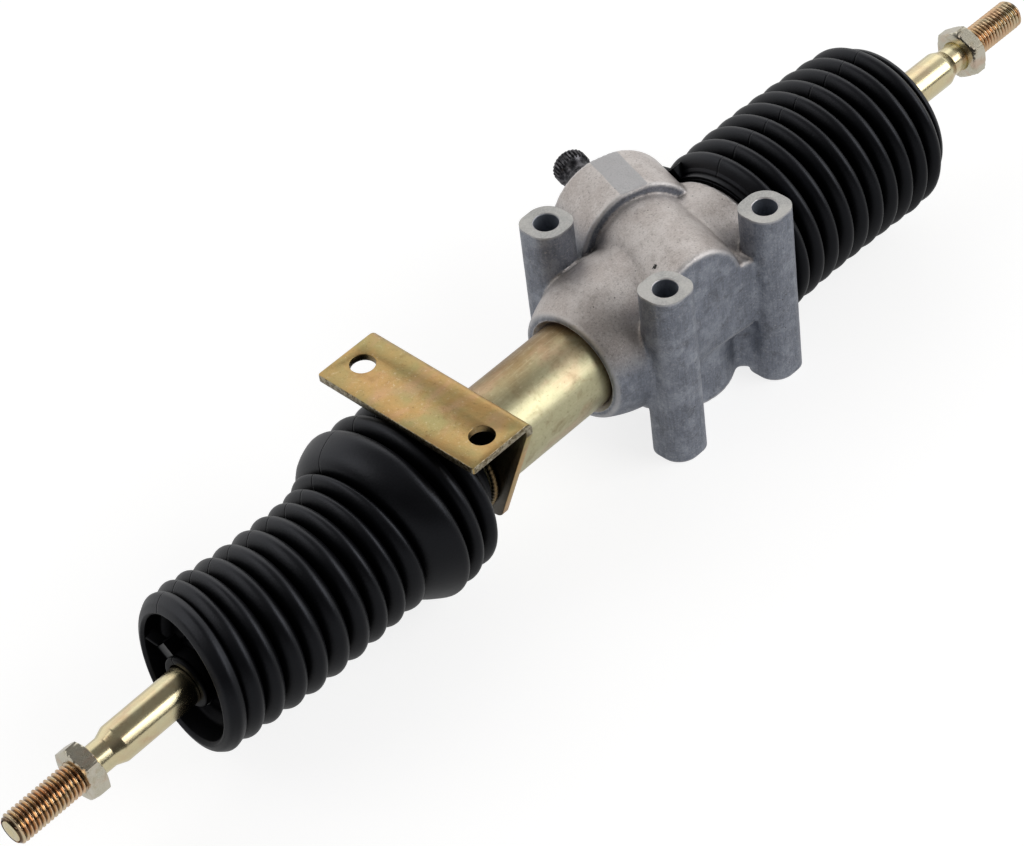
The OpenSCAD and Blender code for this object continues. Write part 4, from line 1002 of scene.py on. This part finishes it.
def casting_recipe():
    """The raw casting: its forms melt into each other with fillets, as they leave the die."""
    recipe = Recipe("blended casting", Fillet=3.8, Small_fillet=1.6, Cells_x=129, Cells_y=127, Cells_z=122)
    form = Forms(recipe)
    fillet, small = recipe["Fillet"], recipe["Small_fillet"]

    def joined(first, second, reach):
        return work_out(recipe.tree, "SMOOTH_MIN", first, second, reach)

    def limited(first, second, reach):
        return work_out(recipe.tree, "SMOOTH_MAX", first, second, reach)

    pinion, foot = tuple(PINION_U), tuple(PINION_FOOT)
    s, away = form.along((0, 0, RACK_AXIS), (1, 0, 0))
    flare = BARREL_RADIUS - COLLAR_FLARE * (((-3.0 - s) / 19.0).within(0.0, 1.0) ** 1.8)
    body = form.both(away - flare, (s - 18.9).size() - 41.0, 1.2)
    guide = form.bar((GUIDE[0], GUIDE[1], 0), (0, 0, 1), GUIDE_RADIUS, 0.6, RACK_AXIS, 1.0)
    body = joined(body, guide, fillet)
    for x, y in POSTS:
        turn = atan2(y - GUIDE[1], x - GUIDE[0])
        reach = sqrt((x - GUIDE[0]) ** 2 + (y - GUIDE[1]) ** 2)
        body = joined(body, form.web(GUIDE, turn, reach, 8.0, 2.6, 30.6), fillet)
    face = form.plane((-sin(radians(7)), -cos(radians(7)), 0), 23.95)
    near = form.block((-2.0, 28.3), (46.6, 60.5), 5.5).greater(form.plane((0, 1, 0), 0.0))
    barrel = form.bar(foot, pinion, PINION_BARREL_RADIUS, -60.0, 15.0, 1.0)
    near = limited(joined(near, barrel, small), face, 3.6)
    body = joined(body, near, 1.8)
    tower = form.bar(foot, pinion, TOWER_RADIUS, 13.0, 39.0, 1.0)
    tower = limited(tower, form.plane(tuple(PINION_T), PINION_T.dot(PINION_FOOT) + TOWER_FLAT), 0.3)
    body = joined(body, tower, small)
    for x, y in POSTS:
        body = joined(body, form.post(x, y, POST_WIDTH, 5.5, 8.1), fillet)
    skin = recipe.wave(form.x, form.y, form.z, 9.0, 2.0) * 0.12
    cube = recipe.node(
        "GeometryNodeVolumeCube",
        Density=-(body + skin),
        Background=-9.0,
        Min=(-0.0235, -0.0405, -0.0030),
        Max=(0.0650, 0.0470, 0.0810),
        Resolution_X=recipe["Cells_x"],
        Resolution_Y=recipe["Cells_y"],
        Resolution_Z=recipe["Cells_z"],
    )
    mesh = recipe.node("GeometryNodeVolumeToMesh", Volume=cube.outputs[0], Threshold=0.0)
    recipe.output(mesh.outputs[0])
    return recipe


def upright(x, y):
    """Places (z, angle, r) round an upright axis."""

    def place(s, angle, r):
        return (x + r * np.cos(angle), y + r * np.sin(angle), s)

    return place


def slab(name, low, high):
    mesh = bpy.data.meshes.new(name)
    with reshaped(mesh) as shape:
        bmesh.ops.create_cube(shape, size=1.0)
        for vertex in shape.verts:
            for axis in range(3):
                vertex.co[axis] = (low[axis] if vertex.co[axis] < 0 else high[axis]) * MM
    mesh.materials.append(CAST)
    return add_object(name, mesh)


def carve(piece, tools, operation="DIFFERENCE"):
    for tool in tools:
        modifier = piece.modifiers.new("Cut", "BOOLEAN")
        modifier.operation = operation
        modifier.solver = "MANIFOLD"
        modifier.object = tool
        settle(piece)
        bpy.data.objects.remove(tool)
    return piece


def make_casting():
    piece = grow(casting_recipe(), "pinion_housing_casting", CAST, sharp=180)
    neck = [(50, 0), (50, NECK_RADIUS), (71.5, NECK_RADIUS, 0.6), (71.5, 0)]
    carve(piece, [turned("neck", neck, along_rack, CAST, steps=128)], "UNION")
    tools = [slab("feet", (-60, -60, -20), (100, 60, 0.0)), slab("tops", (-60, -60, POST_TOP), (100, 60, 120))]
    seat = TUBE_RADIUS + 0.02
    collar = [(-30, 0), (-30, 20.5), (-23, 20.5), (-20, seat), (-2, seat), (-2, 13), (75, 13), (75, 0)]
    tower = [
        (-24.5, 0), (-24.5, 8.0), (-13.5, 8.0), (-13.5, 10.3), (18.5, 10.3), (18.5, 20.02), (30.5, 20.02),
        (30.5, 21.0), (32.1, 21.0), (32.1, 20.02), (38.2, 20.02), (39.2, 20.8), (42, 20.8), (42, 0),
    ]
    guide = [(-3, 0), (-3, 18.9), (0.7, 18.9), (1.4, 18.02), (10.7, 18.02), (10.7, 14.05), (40, 14.05), (40, 0)]
    rim = POST_BORE + 0.5
    post = [
        (-5, 0), (-5, rim), (0.0, rim), (0.5, POST_BORE), (POST_TOP - 0.4, POST_BORE), (POST_TOP + 0.1, rim),
        (82, rim), (82, 0),
    ]
    for name, outline, place, steps in [
        ("collar", collar, along_rack, 128),
        ("tower", tower, along_pinion, 128),
        ("guide", guide, upright(*GUIDE), 96),
    ]:
        tools.append(turned(name, outline, place, CAST, steps))
    ring = [(61.0, NECK_RADIUS), (61.0, 40), (76, 40), (76, NECK_RADIUS)]
    tools.append(turned("turned neck", ring, along_rack, CAST, 128, closed=True))
    tools += [turned("post", post, upright(x, y), CAST, 48) for x, y in POSTS]
    carve(piece, tools)
    tidy(piece, 32)
    fitted(piece, "housing", "pinion_housing")


# ---------------------------------------------------------------- input shaft


def spline_recipe():
    """Splined shaft end: teeth round the axis, a round groove for the pinch bolt and a bevelled end."""
    recipe = Recipe(
        "splined end", Start=0.054, Length=0.0189, Teeth=28, Tip_radius=0.0071, Tooth_depth=0.00085,
        Groove_radius=0.0048, Groove_depth=0.0023, Bevel=0.0024, Steps_along=97, Steps_around=421,
    )
    mesh, u, v = recipe.sheet(recipe["Steps_along"], recipe["Steps_around"])
    along = u * recipe["Length"]
    angle = v * FULL_TURN
    tooth = (v * recipe["Teeth"]).fraction()
    flank = ((tooth * 2.0 - 1.0).size() * 2.6 - 0.8).within(0.0, 1.0)
    tip = recipe["Tip_radius"]
    r = tip - recipe["Tooth_depth"] * flank
    off = along - recipe["Length"] * 0.474
    inside = recipe["Groove_radius"] * recipe["Groove_radius"] - off * off
    groove = recipe["Groove_radius"] + tip - recipe["Groove_depth"] - inside.greater(0.0) ** 0.5
    r = r.lesser(groove + (off.size() - recipe["Groove_radius"]).greater(0.0) * 50.0)
    left = recipe["Length"] - along
    r = r.lesser(tip - recipe["Bevel"] * 0.72 + left * 1.05)
    at = [
        PINION_FOOT[i] * MM
        + PINION_U[i] * (recipe["Start"] + along)
        + PINION_R[i] * (r * angle.cosine())
        + PINION_T[i] * (r * angle.sine())
        for i in range(3)
    ]
    recipe.output(recipe.placed(mesh, *at))
    return recipe


def close_rims(shape):
    bmesh.ops.holes_fill(shape, edges=[edge for edge in shape.edges if edge.is_boundary], sides=0)


def make_shaft():
    teeth = grow(spline_recipe(), "pinion_shaft_splines", SHAFT, sharp=30)
    body = merged_copy("pinion_shaft_body", "pinion_shaft", SHAFT)
    with reshaped(teeth.data) as shape:
        close_rims(shape)
    with reshaped(body.data) as shape:
        cut = (PINION_FOOT + PINION_U * 54.05) * MM
        everything = shape.verts[:] + shape.edges[:] + shape.faces[:]
        bmesh.ops.bisect_plane(shape, geom=everything, plane_co=cut, plane_no=PINION_U, clear_outer=True)
        close_rims(shape)
    for piece, sharp in ((teeth, 30), (body, 35)):
        fitted(tidy(piece, sharp), "pinion", "pinion_shaft")


# ---------------------------------------------------------------- cable ties and weld


def strap_recipe():
    """Strap of a cable tie: a flat band round an axis, ribbed on its inner side."""
    recipe = Recipe(
        "cable tie strap", Start=0.0, Width=0.0046, Inner_radius=0.02, Thickness=0.00115, Ribs=60,
        Direction=1.0, Axis_height=RACK_AXIS * MM, Steps_around=289,
    )
    mesh, u, v = recipe.sheet(13, recipe["Steps_around"])
    angle = v * FULL_TURN
    corners = (0.0, 0.08, 0.16, 0.25, 0.5, 0.59, 0.67, 0.76, 1.0)
    side = recipe.curve(u, list(zip(corners, (0.0, 0.0, 0.06, 0.5, 1.0, 1.0, 0.94, 0.5, 0.0))), "VECTOR")
    level = recipe.curve(u, list(zip(corners, (0.0, 0.88, 1.0, 1.0, 1.0, 0.88, 0.0, 0.0, 0.0))), "VECTOR")
    rib = ((v * recipe["Ribs"]).fraction() * 2.0 - 1.0).size()
    r = recipe["Inner_radius"] + recipe["Thickness"] * (level + (1.0 - level) * rib * 0.22)
    recipe.rolled(mesh, recipe["Start"] + recipe["Direction"] * side * recipe["Width"], r, angle)
    return recipe


STRAP = strap_recipe()


def boxed(name, low, high, origin, directions, ease=0.35):
    """A box with eased edges, its corners given along three directions from a place."""
    mesh = bpy.data.meshes.new(name)
    with reshaped(mesh) as shape:
        bmesh.ops.create_cube(shape, size=1.0)
        for vertex in shape.verts:
            along = [low[i] if vertex.co[i] < 0 else high[i] for i in range(3)]
            place = origin + directions[0] * along[0] + directions[1] * along[1] + directions[2] * along[2]
            vertex.co = place * MM
        bmesh.ops.bevel(
            shape, geom=shape.edges[:], offset=ease * MM, segments=2, affect="EDGES", profile=0.5, clamp_overlap=True
        )
    mesh.materials.append(NYLON)
    return tidy(add_object(name, mesh), 40, merge=1e-7)


def make_tie(node, body, start, out, radius, turn, tail):
    """Strap, head with its pawl, and the cut tail."""
    angle = radians(turn)
    outward = Vector((0, cos(angle), sin(angle)))
    around = Vector((0, -sin(angle), cos(angle)))
    side = Vector((out, 0, 0))
    origin = Vector((start, 0, RACK_AXIS)) + outward * (radius + 0.5)
    axes = (side, outward, around)
    lean, rise, back, reach = tail
    along = (side * lean + outward * rise + around * back).normalized()
    across = (side - along * side.dot(along)).normalized()
    root = origin + outward * 3.6 + around * (2.6 if back > 0 else -2.6)
    sizes = {"Start": start * MM, "Inner_radius": radius * MM, "Ribs": int(radius * 3.2), "Direction": float(out)}
    pieces = [
        grow(STRAP, node + "_strap", NYLON, **sizes),
        boxed(node + "_head", (-0.1, 0.0, -3.3), (4.75, 5.4, 3.3), origin, axes),
        boxed(node + "_pawl", (1.0, 5.1, -1.6), (3.7, 5.75, 2.2), origin, axes, 0.2),
        boxed(node + "_tail", (0.3, -1.0, -0.65), (4.3, reach, 0.65), root, (across, along, across.cross(along)), 0.25),
    ]
    for piece in pieces:
        fitted(piece, body, node)


def bead_recipe():
    """Weld bead round the tube: a fillet whose ripples follow each other like scales."""
    recipe = Recipe(
        "weld bead", Start=-0.0835 + PLATE_REACH * MM, Tube_radius=TUBE_RADIUS * MM, Leg=0.0028, Ripples=64,
        Ripple=0.0002, Axis_height=RACK_AXIS * MM, Steps_around=385,
    )
    mesh, u, v = recipe.sheet(17, recipe["Steps_around"])
    angle = v * FULL_TURN
    sweep = u * FULL_TURN
    bow = recipe.wave(angle.cosine() * 0.02, angle.sine() * 0.02, 0.0, 0.006, 5.0) * 0.25 + 1.0
    scale = ((v * recipe["Ripples"] + (u * pi).sine() * 0.35).fraction() * pi).sine()
    half = recipe["Leg"] * 0.5
    swell = half * bow + recipe["Ripple"] * scale
    x = recipe["Start"] - half * 0.82 - sweep.cosine() * swell * 0.96
    r = recipe["Tube_radius"] + half * 0.62 + sweep.sine() * swell * 0.96
    recipe.rolled(mesh, x, r, angle)
    return recipe


def make_weld():
    bead = grow(bead_recipe(), "bracket_weld_bead", PLATE, sharp=60)
    fitted(bead, "housing", "bracket_weld")


# ---------------------------------------------------------------- stage, lamps, camera


def make_stage():
    """A pale floor that keeps the shadow and shines towards the camera and into reflections."""
    floor_z = cad_box[0][2] - 0.0005
    corners = [(-6, -6, floor_z), (6, -6, floor_z), (6, 6, floor_z), (-6, 6, floor_z)]
    mesh = bpy.data.meshes.new("floor")
    mesh.from_pydata(corners, [], [(0, 1, 2, 3)])
    material = bpy.data.materials.new("pale floor")
    material.use_nodes = True
    tree = material.node_tree
    tree.nodes.clear()
    seen = tree.nodes.new("ShaderNodeLightPath")
    kinds = ("Camera", "Transmission", "Glossy")
    camera, glass, gloss = (Amount(tree, seen.outputs[f"Is {kind} Ray"]) for kind in kinds)
    strength = (camera.greater(glass) * 0.8).greater(gloss * 0.5)
    matt = add_node(tree, "ShaderNodeBsdfDiffuse", Color=(0.34, 0.34, 0.34, 1))
    light = add_node(tree, "ShaderNodeEmission", Strength=strength)
    both = add_node(tree, "ShaderNodeAddShader", in_0=matt.outputs[0], in_1=light.outputs[0])
    add_node(tree, "ShaderNodeOutputMaterial", Surface=both.outputs[0])
    mesh.materials.append(material)
    add_object("floor", mesh)


def make_lamp(name, place, width, height, power, colour):
    lamp = bpy.data.lights.new(name, "AREA")
    lamp.shape = "RECTANGLE"
    lamp.size, lamp.size_y = width, height
    lamp.energy = power
    lamp.color = colour
    ob = add_object(name, lamp)
    ob.location = place
    ob.rotation_euler = (Vector((0, 0, RACK_AXIS * MM)) - Vector(place)).to_track_quat("-Z", "Y").to_euler()


def make_lights():
    """A pale backdrop behind the rack, a dim ceiling, and three softboxes."""
    world = bpy.data.worlds.new("studio")
    bpy.context.scene.world = world
    world.use_nodes = True
    tree = world.node_tree
    background = tree.nodes["Background"]
    x, y, z = split(tree, tree.nodes.new("ShaderNodeTexCoord").outputs["Generated"])
    backdrop = (x * 0.6 + y * 0.8).stepped(-0.1, 0.4) * (1.0 - z.stepped(0.6, 0.9))
    ceiling = z.stepped(0.5, 1.0) * 0.12
    plug(tree, background.inputs["Strength"], 0.08 + 0.95 * backdrop + ceiling)
    background.inputs["Color"].default_value = (1.0, 0.99, 0.975, 1)
    make_lamp("front softbox", (1.54, -2.08, 1.60), 2.2, 2.2, 44.0, (1.0, 1.0, 1.0))
    make_lamp("back softbox", (1.54, 1.55, 2.12), 2.2, 1.8, 5.5, (1.0, 0.985, 0.96))
    make_lamp("left softbox", (-1.0, 0.6, 1.05), 0.9, 0.8, 2.8, (1.0, 0.98, 0.95))


def make_camera():
    azimuth, elevation, roll = radians(-44.33), radians(42.80), radians(-5.70)
    back = Vector((sin(azimuth) * cos(elevation), -cos(azimuth) * cos(elevation), sin(elevation)))
    level = Vector((cos(azimuth), sin(azimuth), 0))
    upright = level.cross(-back)
    right = level * cos(roll) + upright * sin(roll)
    above = -level * sin(roll) + upright * cos(roll)
    pose = Matrix((right, above, back)).transposed().to_4x4()
    pose.translation = back * 1.36138 + Vector((0.020, 0, 0.040))
    lens = bpy.data.cameras.new("camera")
    lens.sensor_width = 36
    lens.lens = 3724.57 / 1024 * 36
    lens.shift_x = (512 - 650.12) / 1024
    lens.shift_y = (303.14 - 423) / 1024
    lens.clip_start = 0.01
    camera = add_object("camera", lens)
    camera.matrix_world = pose
    bpy.context.scene.camera = camera


make_camera()
make_stage()
make_lights()
make_left_boot()
make_right_boot()
make_rod("left")
make_rod("right")
make_tube()
make_bracket()
make_casting()
make_shaft()
for tied, (holder, *tie) in TIES.items():
    make_tie(tied, holder, *tie)
make_weld()
finish_cad_nodes()
bpy.context.scene.view_settings.view_transform = "Standard"
